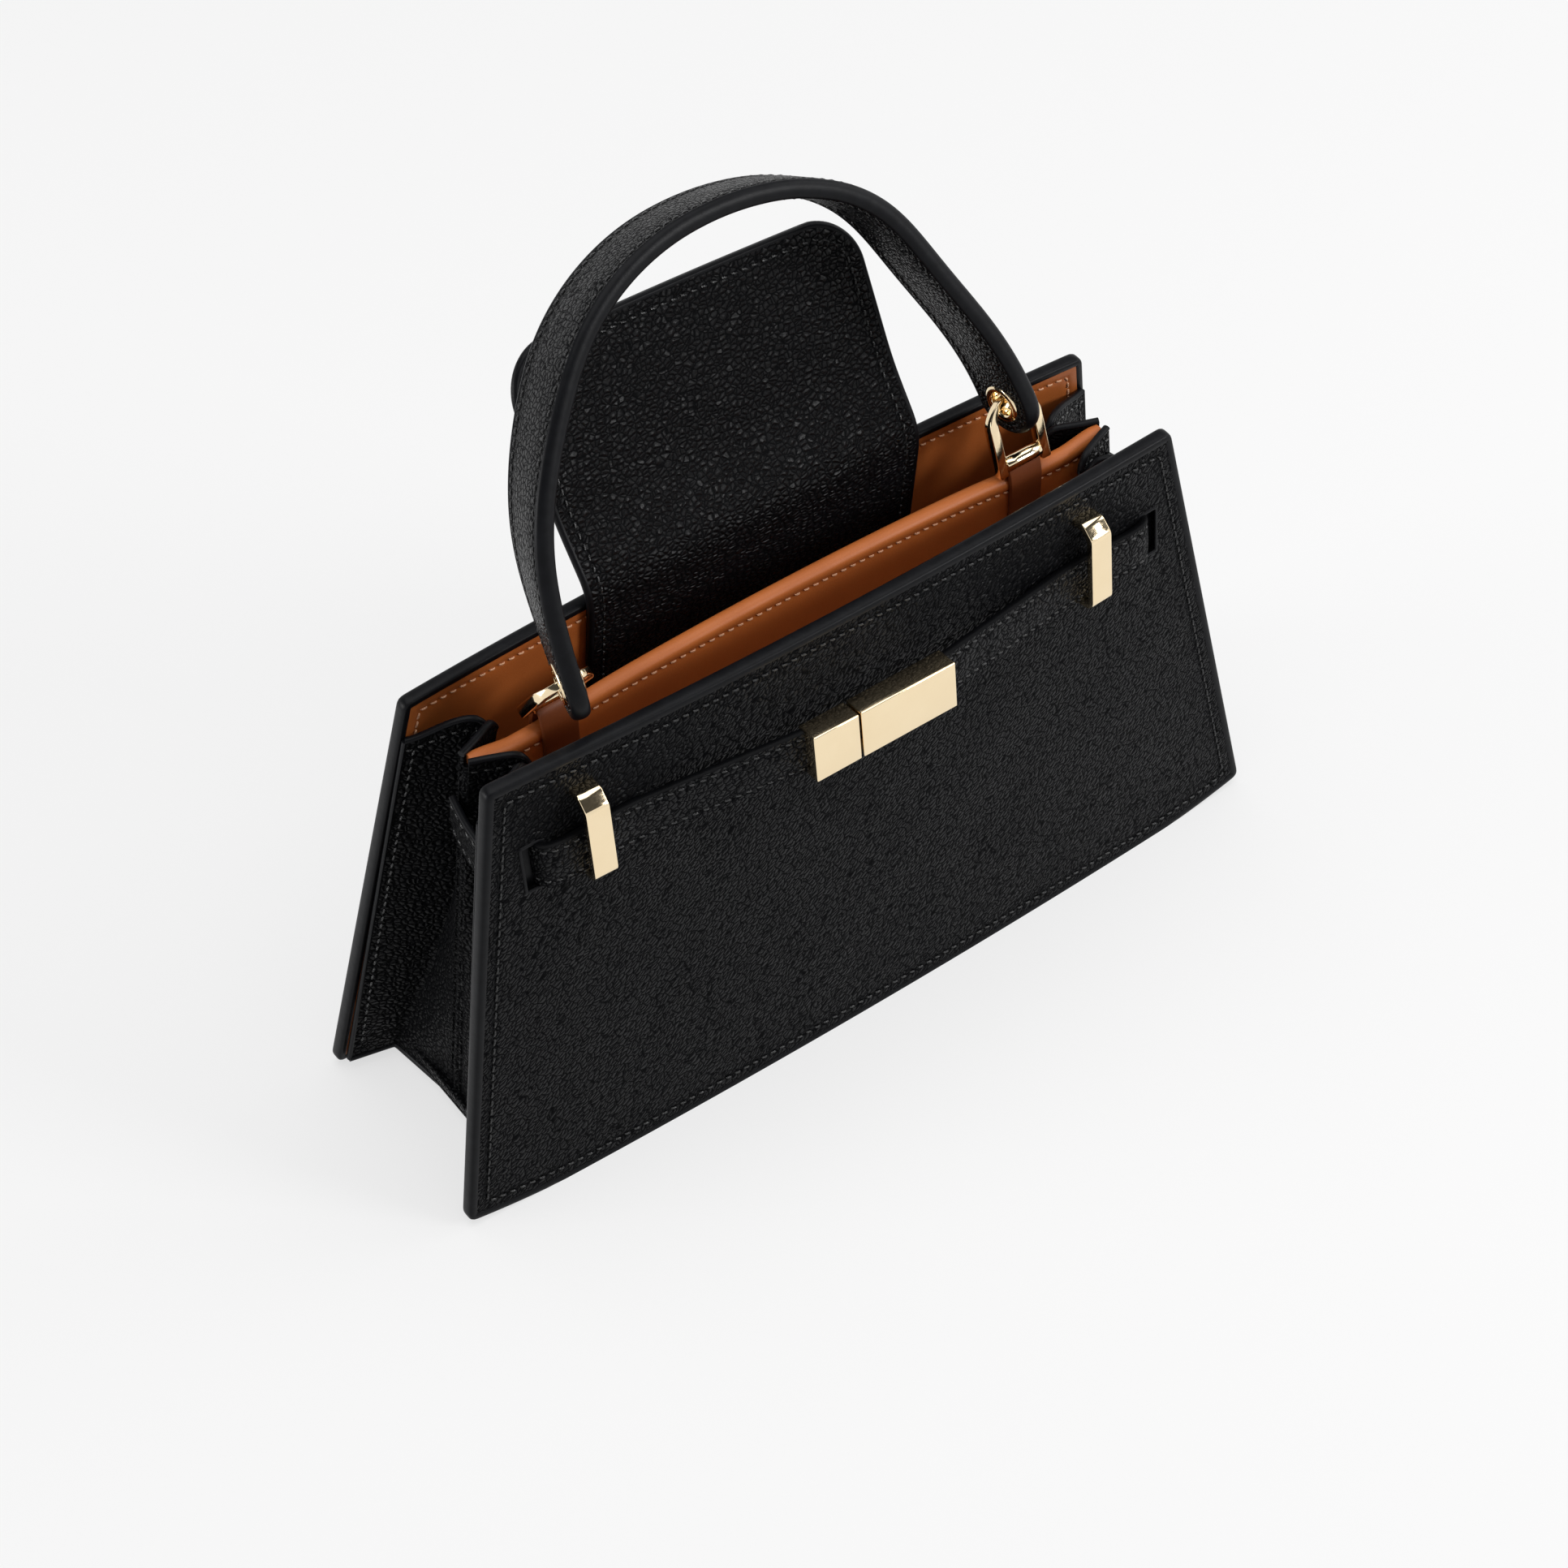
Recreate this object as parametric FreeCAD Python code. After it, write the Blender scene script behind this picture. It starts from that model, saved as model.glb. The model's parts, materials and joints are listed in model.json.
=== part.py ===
import FreeCAD, Part
import math
import os

# Top handle bag: two bowed trapezoid panels, bellows gussets, a divider, a fold-back flap,
# an arched handle on two shackles, and a belt with a lift-off clasp.
# Millimetres. X runs along the bag, -Y is the front, +Z is up, the floor is Z = 0.

# Panels
PANEL_BOTTOM_W = 250.0
PANEL_TOP_W = 201.4
PANEL_H = 132.0
TOP_CORNER_DROP = 0.2
BOTTOM_CORNER_LIFT = 3.1
TOP_FLAT_W = 150.0
BOTTOM_FLAT_W = 150.0
DEPTH_BOTTOM = 65.8
DEPTH_TOP = 38.6
PANEL_BOW = 3.0
LEATHER_T = 1.6
BOARD_T = 0.8
LINING_T = 1.2
BOARD_INSET = 7.0

# Base
BASE_CLEAR = 4.5
BASE_LEATHER_T = 1.5
BASE_BOARD_T = 2.0
BASE_LINING_T = 1.0
BASE_L = 220.0

# Divider
DIVIDER_TOP_W = 189.0
DIVIDER_BOTTOM_W = 214.0
DIVIDER_END_H = 122.6
DIVIDER_MID_H = 127.8
DIVIDER_SKIN_T = 1.4
DIVIDER_BOARD_T = 1.2

# Gussets
GUSSET_T = 1.4
GUSSET_TOP = 120.0
GUSSET_EDGE_INSET = 1.0
FOLD_TOP_X = 82.0
FOLD_BOTTOM_X = 112.0
FOLD_TOP_GAP = 4.5
FOLD_BOTTOM_GAP = 1.6
SIDE_STRAP_T = 1.8

# Belt, keepers and clasp on the front panel
BELT_W = 13.0
BELT_T = 2.2
BELT_Z = 105.7
BELT_STANDOFF = 0.3
BELT_ANGLE = 7.8
SLOT_FROM_EDGE = 12.2
SLOT_W = 3.6
SLOT_EXTRA = 1.0
KEEPER_FROM_SLOT = 18.0
BEND_FROM_KEEPER = 9.5
KEEPER_SHIFT = -2.2
KEEPER_Z = 109.0
KEEPER_W = 5.0
KEEPER_H = 26.0
KEEPER_REACH = 7.0
KEEPER_T = 2.0
KEEPER_BEND_R = 3.0
KEEPER_PLATE_W = 9.0
CLASP_SPLIT_X = -7.8
CLASP_GAP = 1.2
CLASP_T = 6.5
CLASP_H = 14.0
CLASP_LEFT_L = 13.0
CLASP_RIGHT_L = 28.6
CLASP_BACK = 0.4
CLASP_EDGE = 0.6
TONGUE_L = 17.0
TONGUE_H = 8.0
TONGUE_T = 1.6
MAGNET_R = 3.0
MAGNET_T = 1.2
RIVET_R = 1.0
STRAP_GRIP = 9.0

# Flap
FLAP_W = 98.8
FLAP_T = 2.2
FLAP_ROOT_Z = 90.0
FLAP_BEND_Z = 136.2
FLAP_SEAT = 0.3
FLAP_LOWER_L = 18.0
FLAP_UPPER_L = 22.3
FLAP_TIP_L = 16.5
FLAP_LOWER_LEAN = 39.4
FLAP_UPPER_LEAN = 23.1
FLAP_CORNER_R = 13.0

# Handle and shackles
TAB_X = 71.0
TAB_W = 10.0
TAB_T = 1.4
TAB_DROP = 30.0
BAR_R = 1.4
BAR_RISE = 5.1
SHACKLE_L = 14.5
SHACKLE_HALF = 6.6
SHACKLE_CROWN = 0.5
SHACKLE_WIRE_W = 2.2
SHACKLE_WIRE_D = 2.4
SHACKLE_FOOT = 2.6
RIGHT_SHACKLE_LEAN = 22.0
LEFT_SHACKLE_LEAN = -35.0
HANDLE_W = 18.4
HANDLE_SKIN_T = 1.6
HANDLE_CORE_T = 1.4
HANDLE_H = 86.0
HANDLE_TOP_R = 56.0
HANDLE_TOP_ANGLE = 48.5
HANDLE_LEAN = 27.5
EYELET_R = 3.3
EYELET_BARREL_R = 4.0
EYELET_FLANGE_R = 5.3
EYELET_FLANGE_T = 0.6

# Clearances between pieces that move on each other or are only sewn together
GAP = 0.3
SEAT = 0.15
FIT = 0.05

V = FreeCAD.Vector
X_AXIS = V(1, 0, 0)
Y_AXIS = V(0, 1, 0)
Z_AXIS = V(0, 0, 1)
PANEL_T = LEATHER_T + BOARD_T + LINING_T
TOP_CORNER_Z = PANEL_H - TOP_CORNER_DROP
DIVIDER_T = 2 * DIVIDER_SKIN_T + DIVIDER_BOARD_T
BASE_TOP = BASE_CLEAR + BASE_LEATHER_T + BASE_BOARD_T + BASE_LINING_T
HANDLE_T = 2 * HANDLE_SKIN_T + HANDLE_CORE_T
FAR = 200.0


def between(bottom, top, z, z_bottom=BOTTOM_CORNER_LIFT, z_top=TOP_CORNER_Z):
    """A value that changes evenly with height."""
    return bottom + (top - bottom) * (z - z_bottom) / (z_top - z_bottom)


def half_width(z):
    return between(PANEL_BOTTOM_W, PANEL_TOP_W, z) / 2


def half_depth(z):
    return between(DEPTH_BOTTOM, DEPTH_TOP, z) / 2


def face_y(x, z):
    """How far a panel's outer face stands from the middle of the bag."""
    return half_depth(z) + PANEL_BOW * (1 - (x / half_width(z)) ** 2)


def slot_x():
    """Outer end of a belt slot, kept a set distance inside the panel's edge."""
    return half_width(BELT_Z) - SLOT_FROM_EDGE


def keeper_x():
    return slot_x() - KEEPER_FROM_SLOT


def bend_x():
    """Where a belt lead leaves the panel's face for the clasp."""
    return keeper_x() - BEND_FROM_KEEPER


def line(a, b):
    return Part.LineSegment(a, b).toShape()


def arc(a, b, c):
    return Part.Arc(a, b, c).toShape()


def polygon(points):
    return Part.makePolygon(points + [points[0]])


def prism(points, direction):
    """A solid from a flat outline, pushed along a direction."""
    return Part.Face(polygon(points)).extrude(direction)


def box(x0, x1, y0, y1, z0, z1):
    return Part.makeBox(x1 - x0, y1 - y0, z1 - z0, V(x0, y0, z0))


def moved(shape, placement):
    copy = shape.copy()
    copy.Placement = placement.multiply(copy.Placement)
    return copy


def mirrored_y(shape):
    return shape.mirror(V(0, 0, 0), Y_AXIS)


def mirrored_x(shape):
    return shape.mirror(V(0, 0, 0), X_AXIS)


def one_solid(shape):
    return shape.Solids[0]


# Panels


def bowed_layer(outer, inner):
    """A front layer between two depths behind the panel's outer face, larger than its outline."""
    sections = []
    for z in (-10.0, PANEL_H + 10.0):
        reach = 1.05 * half_width(z)
        rows = []
        for depth in (outer, inner):
            rows.append([V(x, depth - face_y(x, z), z) for x in (-reach, 0, reach)])
        front, back = rows
        edges = [arc(*front), line(front[2], back[2]), arc(*reversed(back)), line(back[0], front[0])]
        sections.append(Part.Wire(edges))
    return Part.makeLoft(sections, True, True)


def panel_outline(inset):
    """The trapezoid seen from the front, with its corners dropped and lifted in arcs."""
    bottom_x = PANEL_BOTTOM_W / 2 - inset
    top_x = PANEL_TOP_W / 2 - inset
    low, high = inset, PANEL_H - inset
    low_corner, high_corner = BOTTOM_CORNER_LIFT + inset, TOP_CORNER_Z - inset
    low_flat, high_flat = BOTTOM_FLAT_W / 2 - inset, TOP_FLAT_W / 2 - inset

    def at(x, z):
        return V(x, 0, z)

    def bent(sign, x0, z0, x1, z1):
        middle = at(sign * (x0 + x1) / 2, z0 + (z1 - z0) / 4)
        return arc(at(sign * x0, z0), middle, at(sign * x1, z1))

    edges = [
        line(at(-low_flat, low), at(low_flat, low)),
        bent(1, low_flat, low, bottom_x, low_corner),
        line(at(bottom_x, low_corner), at(top_x, high_corner)),
        bent(1, high_flat, high, top_x, high_corner),
        line(at(high_flat, high), at(-high_flat, high)),
        bent(-1, high_flat, high, top_x, high_corner),
        line(at(-top_x, high_corner), at(-bottom_x, low_corner)),
        bent(-1, low_flat, low, bottom_x, low_corner),
    ]
    return Part.Face(Part.Wire(Part.__sortEdges__(edges)))


def panel_layer(outer, inner, inset=0.0):
    blank = panel_outline(inset).extrude(V(0, -FAR, 0))
    return one_solid(bowed_layer(outer, inner).common(blank))


def front_frame(x, z):
    """On the front face: local X along it, local Y into the bag, local Z up its slope."""
    along = V(1, face_y(x - 0.5, z) - face_y(x + 0.5, z), 0)
    upward = V(0, face_y(x, z - 0.5) - face_y(x, z + 0.5), 1)
    rotation = FreeCAD.Rotation(along, upward.cross(along), upward, "YZX")
    return FreeCAD.Placement(V(x, -face_y(x, z), z), rotation)


# Belt, keepers and clasp


def belt_frame(side):
    """At the bend of one belt lead: the lead runs along local X to the middle of the bag."""
    frame = front_frame(side * bend_x(), BELT_Z)
    seat = FreeCAD.Placement(V(0, -BELT_STANDOFF - BELT_T, 0), FreeCAD.Rotation())
    along = frame.Rotation.multVec(X_AXIS)
    turn = side * BELT_ANGLE - math.degrees(math.atan2(along.y, along.x))
    return frame.multiply(seat).multiply(FreeCAD.Placement(V(0, 0, 0), FreeCAD.Rotation(Z_AXIS, turn)))


def belt_box(side, start, end, out_low, out_high, s_low, s_high):
    """A block on a belt lead: start and end along it from the bend, out from its outer face."""
    x0, x1 = sorted((-side * start, -side * end))
    return moved(box(x0, x1, -out_high, -out_low, s_low, s_high), belt_frame(side))


def clasp_length(side):
    return CLASP_RIGHT_L if side > 0 else CLASP_LEFT_L


def clasp_end(side):
    """How far along its lead a block ends, so that the two meet at the split."""
    across = side * (belt_frame(side).Base.x - CLASP_SPLIT_X) - CLASP_GAP / 2
    return across / math.cos(math.radians(BELT_ANGLE))


def clasp_start(side):
    return clasp_end(side) - clasp_length(side)


def belt_lead(side, start):
    return belt_box(side, start, clasp_start(side) + STRAP_GRIP, -BELT_T, 0, -BELT_W / 2, BELT_W / 2)


def belt_tail(side):
    """From the bend under the keeper to the slot, and through the slot into the panel."""
    frame = front_frame(side * keeper_x(), BELT_Z)
    to_slot = KEEPER_FROM_SLOT
    half = BELT_W / 2
    x0, x1 = sorted((-side * BEND_FROM_KEEPER, side * to_slot))
    strap = box(x0, x1, -BELT_STANDOFF - BELT_T, -BELT_STANDOFF, -half, half)
    root_in = to_slot - SLOT_W + GAP
    root_out = to_slot - GAP
    r0, r1 = sorted((side * root_in, side * root_out))
    root = box(r0, r1, -BELT_STANDOFF - BELT_T / 2, LEATHER_T + BOARD_T - SEAT, -half, half)
    return moved(strap.fuse(root).removeSplitter(), frame)


def slot_cutter(side):
    frame = front_frame(side * keeper_x(), BELT_Z)
    outer = KEEPER_FROM_SLOT
    half = (BELT_W + SLOT_EXTRA) / 2
    x0, x1 = sorted((side * (outer - SLOT_W), side * outer))
    return moved(box(x0, x1, -PANEL_BOW, LEATHER_T + BOARD_T, -half, half), frame)


def keeper(side, grow=0.0):
    """A flat bar bent into a staple; its two legs go through the panel."""
    half = KEEPER_H / 2
    inside = half - KEEPER_T
    bend = KEEPER_BEND_R
    width = KEEPER_W + 2 * grow
    back = LEATHER_T + BOARD_T - FIT

    def at(out, s):
        return V(-width / 2, -out, s)

    corner = bend * (1 - math.sqrt(0.5))
    outer = [
        line(at(-back, -half - grow), at(KEEPER_REACH - bend, -half - grow)),
        arc(at(KEEPER_REACH - bend, -half - grow), at(KEEPER_REACH - corner, -half + corner),
            at(KEEPER_REACH, -half + bend)),
        line(at(KEEPER_REACH, -half + bend), at(KEEPER_REACH, half - bend)),
        arc(at(KEEPER_REACH, half - bend), at(KEEPER_REACH - corner, half - corner),
            at(KEEPER_REACH - bend, half + grow)),
        line(at(KEEPER_REACH - bend, half + grow), at(-back, half + grow)),
        line(at(-back, half + grow), at(-back, inside - grow)),
        line(at(-back, inside - grow), at(KEEPER_REACH - KEEPER_T, inside - grow)),
        line(at(KEEPER_REACH - KEEPER_T, inside - grow), at(KEEPER_REACH - KEEPER_T, -inside + grow)),
        line(at(KEEPER_REACH - KEEPER_T, -inside + grow), at(-back, -inside + grow)),
        line(at(-back, -inside + grow), at(-back, -half - grow)),
    ]
    bar = Part.Face(Part.Wire(outer)).extrude(V(width, 0, 0))
    return moved(bar, front_frame(side * keeper_x() + KEEPER_SHIFT, KEEPER_Z))


def keeper_plate(side, grow=0.0):
    """The backing plate that the staple's legs are peened to, in the board's own layer."""
    half_w = KEEPER_PLATE_W / 2 + grow
    half_h = KEEPER_H / 2 + KEEPER_T + grow
    plate = box(-half_w, half_w, LEATHER_T + FIT - grow, LEATHER_T + BOARD_T - FIT + grow, -half_h, half_h)
    return moved(plate, front_frame(side * keeper_x() + KEEPER_SHIFT, KEEPER_Z))


def clasp_block(side):
    """A bevelled block that grips the end of its lead from the front."""
    low, high = -BELT_T - CLASP_BACK, CLASP_T - BELT_T - CLASP_BACK
    block = belt_box(side, clasp_start(side), clasp_end(side), low, high, -CLASP_H / 2, CLASP_H / 2)
    block = block.makeChamfer(CLASP_EDGE, block.Edges)
    grip = belt_box(side, 0, clasp_start(side) + STRAP_GRIP + FIT, -BELT_T - FIT, FIT,
                    -BELT_W / 2 - FIT, BELT_W / 2 + FIT)
    return block.cut(grip)


def tongue(grow=0.0):
    """The plate on the left block that lies in the right block's open back."""
    end = clasp_end(1)
    low = -BELT_T - CLASP_BACK
    half = TONGUE_H / 2 + grow
    return belt_box(1, end - TONGUE_L - grow, end + grow, low - grow, low + TONGUE_T + grow / 2, -half, half)


def magnet(out_low, start):
    frame = belt_frame(1)
    disc = Part.makeCylinder(MAGNET_R, MAGNET_T, V(-start, -out_low, 0), V(0, -1, 0))
    return moved(disc, frame)


def rivet_pair(side):
    """Two short pins that hold the strap end in its block."""
    frame = belt_frame(side)
    pins = []
    for s in (-BELT_W / 4, BELT_W / 4):
        place = V(-side * (clasp_start(side) + STRAP_GRIP / 2), BELT_T + CLASP_BACK, s)
        pin = Part.makeCylinder(RIVET_R, CLASP_BACK + BELT_T + 1.0, place, V(0, -1, 0))
        pins.append(moved(pin, frame))
    return pins


def belt_parts():
    parts = {}
    pins = {-1: rivet_pair(-1), 1: rivet_pair(1)}
    pocket = tongue(grow=2 * GAP)
    magnet_at = clasp_end(1) - TONGUE_L / 2
    tongue_low = -BELT_T - CLASP_BACK
    tongue_magnet = magnet(tongue_low + TONGUE_T - MAGNET_T, magnet_at)
    block_magnet = magnet(tongue_low + TONGUE_T + GAP, magnet_at)

    left = belt_tail(-1).fuse(belt_lead(-1, -FIT)).removeSplitter()
    parts["belt_left"] = one_solid(left)
    parts["belt_right_tail"] = one_solid(belt_tail(1))
    parts["belt_right_lead"] = one_solid(belt_lead(1, GAP))
    parts["clasp_left_block"] = clasp_block(-1)
    parts["clasp_right_block"] = clasp_block(1).cut(pocket).cut(block_magnet)
    parts["clasp_tongue"] = tongue().cut(tongue_magnet)
    parts["clasp_left_magnet"] = tongue_magnet
    parts["clasp_right_magnet"] = block_magnet
    for side, name in ((-1, "left"), (1, "right")):
        strap = "belt_left" if side < 0 else "belt_right_lead"
        for pin in pins[side]:
            parts[strap] = parts[strap].cut(pin)
            parts[f"clasp_{name}_block"] = parts[f"clasp_{name}_block"].cut(pin)
        parts[f"clasp_{name}_rivets"] = Part.makeCompound(pins[side])
        parts[f"keeper_{name}"] = keeper(side)
        parts[f"keeper_plate_{name}"] = keeper_plate(side).cut(keeper(side, FIT))
    return parts


def panel_parts():
    leather_back = LEATHER_T
    board_back = LEATHER_T + BOARD_T
    leather = panel_layer(0.0, leather_back)
    board = panel_layer(leather_back + FIT, board_back - FIT, BOARD_INSET)
    lining = panel_layer(board_back, PANEL_T)
    parts = {
        "back_panel": mirrored_y(leather),
        "back_board": mirrored_y(board),
        "back_lining": mirrored_y(lining),
        "front_lining": lining,
    }
    for side in (-1, 1):
        for cutter in (slot_cutter(side), keeper(side, FIT)):
            leather = leather.cut(cutter)
            board = board.cut(cutter)
        board = board.cut(keeper_plate(side, SEAT))
    parts["front_panel"] = one_solid(leather)
    parts["front_board"] = one_solid(board)
    return parts


# Base, divider and gussets


def base_layer(z_low, z_high):
    """A plate between the panels, with its long edges bowed as they are."""
    half = BASE_L / 2
    front = [V(x, PANEL_T + SEAT - face_y(x, z_high), z_low) for x in (-half, 0, half)]
    back = [V(p.x, -p.y, z_low) for p in front]
    edges = [arc(*front), line(front[2], back[2]), arc(*reversed(back)), line(back[0], front[0])]
    return Part.Face(Part.Wire(edges)).extrude(V(0, 0, z_high - z_low))


def base_parts():
    leather_top = BASE_CLEAR + BASE_LEATHER_T
    board_top = leather_top + BASE_BOARD_T
    return {
        "base_panel": base_layer(BASE_CLEAR, leather_top),
        "base_board": base_layer(leather_top, board_top),
        "base_lining": base_layer(board_top, BASE_TOP),
    }


def divider_top(x):
    """Height of the divider's arched top edge."""
    half = DIVIDER_TOP_W / 2
    rise = DIVIDER_MID_H - DIVIDER_END_H
    radius = (half ** 2 + rise ** 2) / (2 * rise)
    return DIVIDER_MID_H - radius + math.copysign(math.sqrt(radius ** 2 - x ** 2), radius)


def divider_layer(y_low, y_high):
    low, high = DIVIDER_BOTTOM_W / 2, DIVIDER_TOP_W / 2
    left, right = V(-high, y_low, DIVIDER_END_H), V(high, y_low, DIVIDER_END_H)
    foot_left, foot_right = V(-low, y_low, BASE_TOP), V(low, y_low, BASE_TOP)
    edges = [
        line(foot_left, foot_right),
        line(foot_right, right),
        arc(right, V(0, y_low, DIVIDER_MID_H), left),
        line(left, foot_left),
    ]
    return Part.Face(Part.Wire(edges)).extrude(V(0, y_high - y_low, 0))


def divider_parts():
    board = DIVIDER_BOARD_T / 2
    face = DIVIDER_T / 2
    return {
        "divider_front": divider_layer(-face, -board),
        "divider_board": divider_layer(-board, board),
        "divider_back": divider_layer(board, face),
    }


def gusset_section(z, fold_x, fold_gap):
    """Plan of one bellows leaf in the +X +Y quarter: along the lining, round the fold, to the divider."""
    depth = PANEL_T + SEAT
    edge_x = half_width(z) - GUSSET_EDGE_INSET
    end_x = between(DIVIDER_BOTTOM_W, DIVIDER_TOP_W, z, BASE_TOP, DIVIDER_END_H) / 2 + GUSSET_T + SEAT
    end_y = DIVIDER_T / 2 + SEAT
    edge_y = face_y(edge_x, z) - depth
    fold_y = face_y(fold_x, z) - depth
    return polygon([
        V(edge_x, edge_y, z),
        V(fold_x, fold_y, z),
        V(end_x - GUSSET_T, end_y, z),
        V(end_x, end_y, z),
        V(fold_x + fold_gap, fold_y - GUSSET_T, z),
        V(edge_x, edge_y - GUSSET_T, z),
    ])


def gusset_leaf():
    low = gusset_section(BASE_TOP, FOLD_BOTTOM_X, FOLD_BOTTOM_GAP)
    high = gusset_section(GUSSET_TOP, FOLD_TOP_X, FOLD_TOP_GAP)
    return Part.makeLoft([low, high], True, True)


def side_strap():
    """The belt's end on the outside of a gusset, from the front panel to the divider's end."""
    low, high = BELT_Z - BELT_W / 2, BELT_Z + BELT_W / 2
    start_x = half_width(BELT_Z) - GUSSET_EDGE_INSET - 2 * SIDE_STRAP_T
    end_x = between(DIVIDER_BOTTOM_W, DIVIDER_TOP_W, low, BASE_TOP, DIVIDER_END_H) / 2 + GUSSET_T + 2 * SEAT
    start_y = PANEL_T + GUSSET_T + 2 * SEAT - face_y(start_x, high)
    points = [
        V(start_x, start_y, low),
        V(start_x + SIDE_STRAP_T, start_y, low),
        V(end_x + SIDE_STRAP_T, DIVIDER_T / 2, low),
        V(end_x, DIVIDER_T / 2, low),
    ]
    return prism(points, V(0, 0, high - low))


def gusset_parts():
    back_right = gusset_leaf()
    strap = side_strap()
    return {
        "gusset_back_right": back_right,
        "gusset_front_right": mirrored_y(back_right),
        "gusset_back_left": mirrored_x(back_right),
        "gusset_front_left": mirrored_x(mirrored_y(back_right)),
        "side_strap_right": strap,
        "side_strap_left": mirrored_x(strap),
    }


# Flap


def flap_seat(z):
    """Middle of the flap's leather where it lies on the back lining."""
    return face_y(FLAP_W / 2, z) - PANEL_T - FLAP_SEAT - FLAP_T / 2


def flap_axis():
    """Where the flap bends at the top of the back panel."""
    return V(0, flap_seat(FLAP_BEND_Z), FLAP_BEND_Z)


def leaning(length, lean):
    """A step up a leaf that leans back from the vertical."""
    angle = math.radians(lean)
    return V(0, length * math.sin(angle), length * math.cos(angle))


def flap_slab(start, end, half):
    """A flat leaf of the flap between two points of its middle line."""
    along = end - start
    across = V(0, along.z, -along.y).normalize() * (FLAP_T / 2)
    side = V(-half, 0, 0)
    points = [start + across + side, end + across + side, end - across + side, start - across + side]
    return prism(points, V(2 * half, 0, 0))


def flap_bead(centre, half):
    return Part.makeCylinder(FLAP_T / 2, 2 * half, centre - V(half, 0, 0), X_AXIS)


def flap_fold_axis():
    return flap_axis() + leaning(FLAP_LOWER_L, FLAP_LOWER_LEAN) + leaning(FLAP_UPPER_L, FLAP_UPPER_LEAN)


def flap_parts():
    half = FLAP_W / 2
    axis = flap_axis()
    knee = axis + leaning(FLAP_LOWER_L, FLAP_LOWER_LEAN)
    fold = flap_fold_axis()
    clear = FLAP_T / 2 + GAP
    root_low = V(0, flap_seat(FLAP_ROOT_Z), FLAP_ROOT_Z)
    root = flap_slab(root_low, axis, half).fuse(flap_bead(axis, half))

    lower = flap_slab(axis + leaning(clear, FLAP_LOWER_LEAN), knee, half)
    upper = flap_slab(knee, fold, half)
    bridge = lower.fuse(flap_bead(knee, half)).fuse(upper).fuse(flap_bead(fold, half))

    tip = flap_slab(fold + leaning(clear, FLAP_UPPER_LEAN), fold + leaning(FLAP_TIP_L, FLAP_UPPER_LEAN), half)
    end = FLAP_TIP_L * math.cos(math.radians(FLAP_UPPER_LEAN)) * 0.9
    corners = [e for e in tip.Edges if is_tip_corner(e, fold.z + end)]
    tip = tip.makeFillet(FLAP_CORNER_R, corners)
    return {
        "flap_root": one_solid(root.removeSplitter()),
        "flap_bridge": one_solid(bridge.removeSplitter()),
        "flap_tip": tip,
    }


def is_tip_corner(edge, z):
    """The two short edges across the leather at the flap's free end."""
    return edge.Length < 1.5 * FLAP_T and edge.CenterOfMass.z > z


# Handle


def bar_point(side):
    """Middle of a shackle's bar, set so that the inner leg clears the divider's top edge."""
    inner_leg = TAB_X - SHACKLE_HALF - SHACKLE_WIRE_W / 2
    return V(side * TAB_X, 0, divider_top(inner_leg) + BAR_RISE)


def shackle_lean(side):
    return RIGHT_SHACKLE_LEAN if side > 0 else LEFT_SHACKLE_LEAN


def eyelet_point(side):
    return bar_point(side) + leaning(SHACKLE_L, shackle_lean(side))


def shackle_frame(side):
    return FreeCAD.Placement(bar_point(side), FreeCAD.Rotation(X_AXIS, -shackle_lean(side)))


def shackle(side):
    """A stirrup: two legs past the bar, joined by an arch that goes through the eyelet."""
    r_out = SHACKLE_HALF + SHACKLE_WIRE_W / 2
    r_in = SHACKLE_HALF - SHACKLE_WIRE_W / 2
    spring = SHACKLE_L + SHACKLE_CROWN - SHACKLE_HALF
    y = -SHACKLE_WIRE_D / 2

    def at(x, z):
        return V(x, y, z)

    edges = [
        line(at(-r_out, -SHACKLE_FOOT), at(-r_out, spring)),
        arc(at(-r_out, spring), at(0, spring + r_out), at(r_out, spring)),
        line(at(r_out, spring), at(r_out, -SHACKLE_FOOT)),
        line(at(r_out, -SHACKLE_FOOT), at(r_in, -SHACKLE_FOOT)),
        line(at(r_in, -SHACKLE_FOOT), at(r_in, spring)),
        arc(at(r_in, spring), at(0, spring + r_in), at(-r_in, spring)),
        line(at(-r_in, spring), at(-r_in, -SHACKLE_FOOT)),
        line(at(-r_in, -SHACKLE_FOOT), at(-r_out, -SHACKLE_FOOT)),
    ]
    wire = Part.Face(Part.Wire(edges)).extrude(V(0, SHACKLE_WIRE_D, 0))
    return moved(wire, shackle_frame(side))


def shackle_bar(side):
    half = SHACKLE_HALF - SHACKLE_WIRE_W / 2
    bar = Part.makeCylinder(BAR_R, 2 * half, V(-half, 0, 0), X_AXIS)
    return moved(bar, shackle_frame(side))


def handle_tab(side):
    """A leather loop over the bar, with a leg down each face of the divider."""
    centre = bar_point(side)
    inner = DIVIDER_T / 2
    outer = inner + TAB_T
    low = centre.z - TAB_DROP

    def at(y, z):
        return V(centre.x - TAB_W / 2, y, z)

    edges = [
        line(at(-outer, low), at(-outer, centre.z)),
        arc(at(-outer, centre.z), at(0, centre.z + outer), at(outer, centre.z)),
        line(at(outer, centre.z), at(outer, low)),
        line(at(outer, low), at(inner, low)),
        line(at(inner, low), at(inner, centre.z)),
        arc(at(inner, centre.z), at(0, centre.z + inner), at(-inner, centre.z)),
        line(at(-inner, centre.z), at(-inner, low)),
        line(at(-inner, low), at(-outer, low)),
    ]
    return Part.Face(Part.Wire(edges)).extrude(V(TAB_W, 0, 0))


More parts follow.
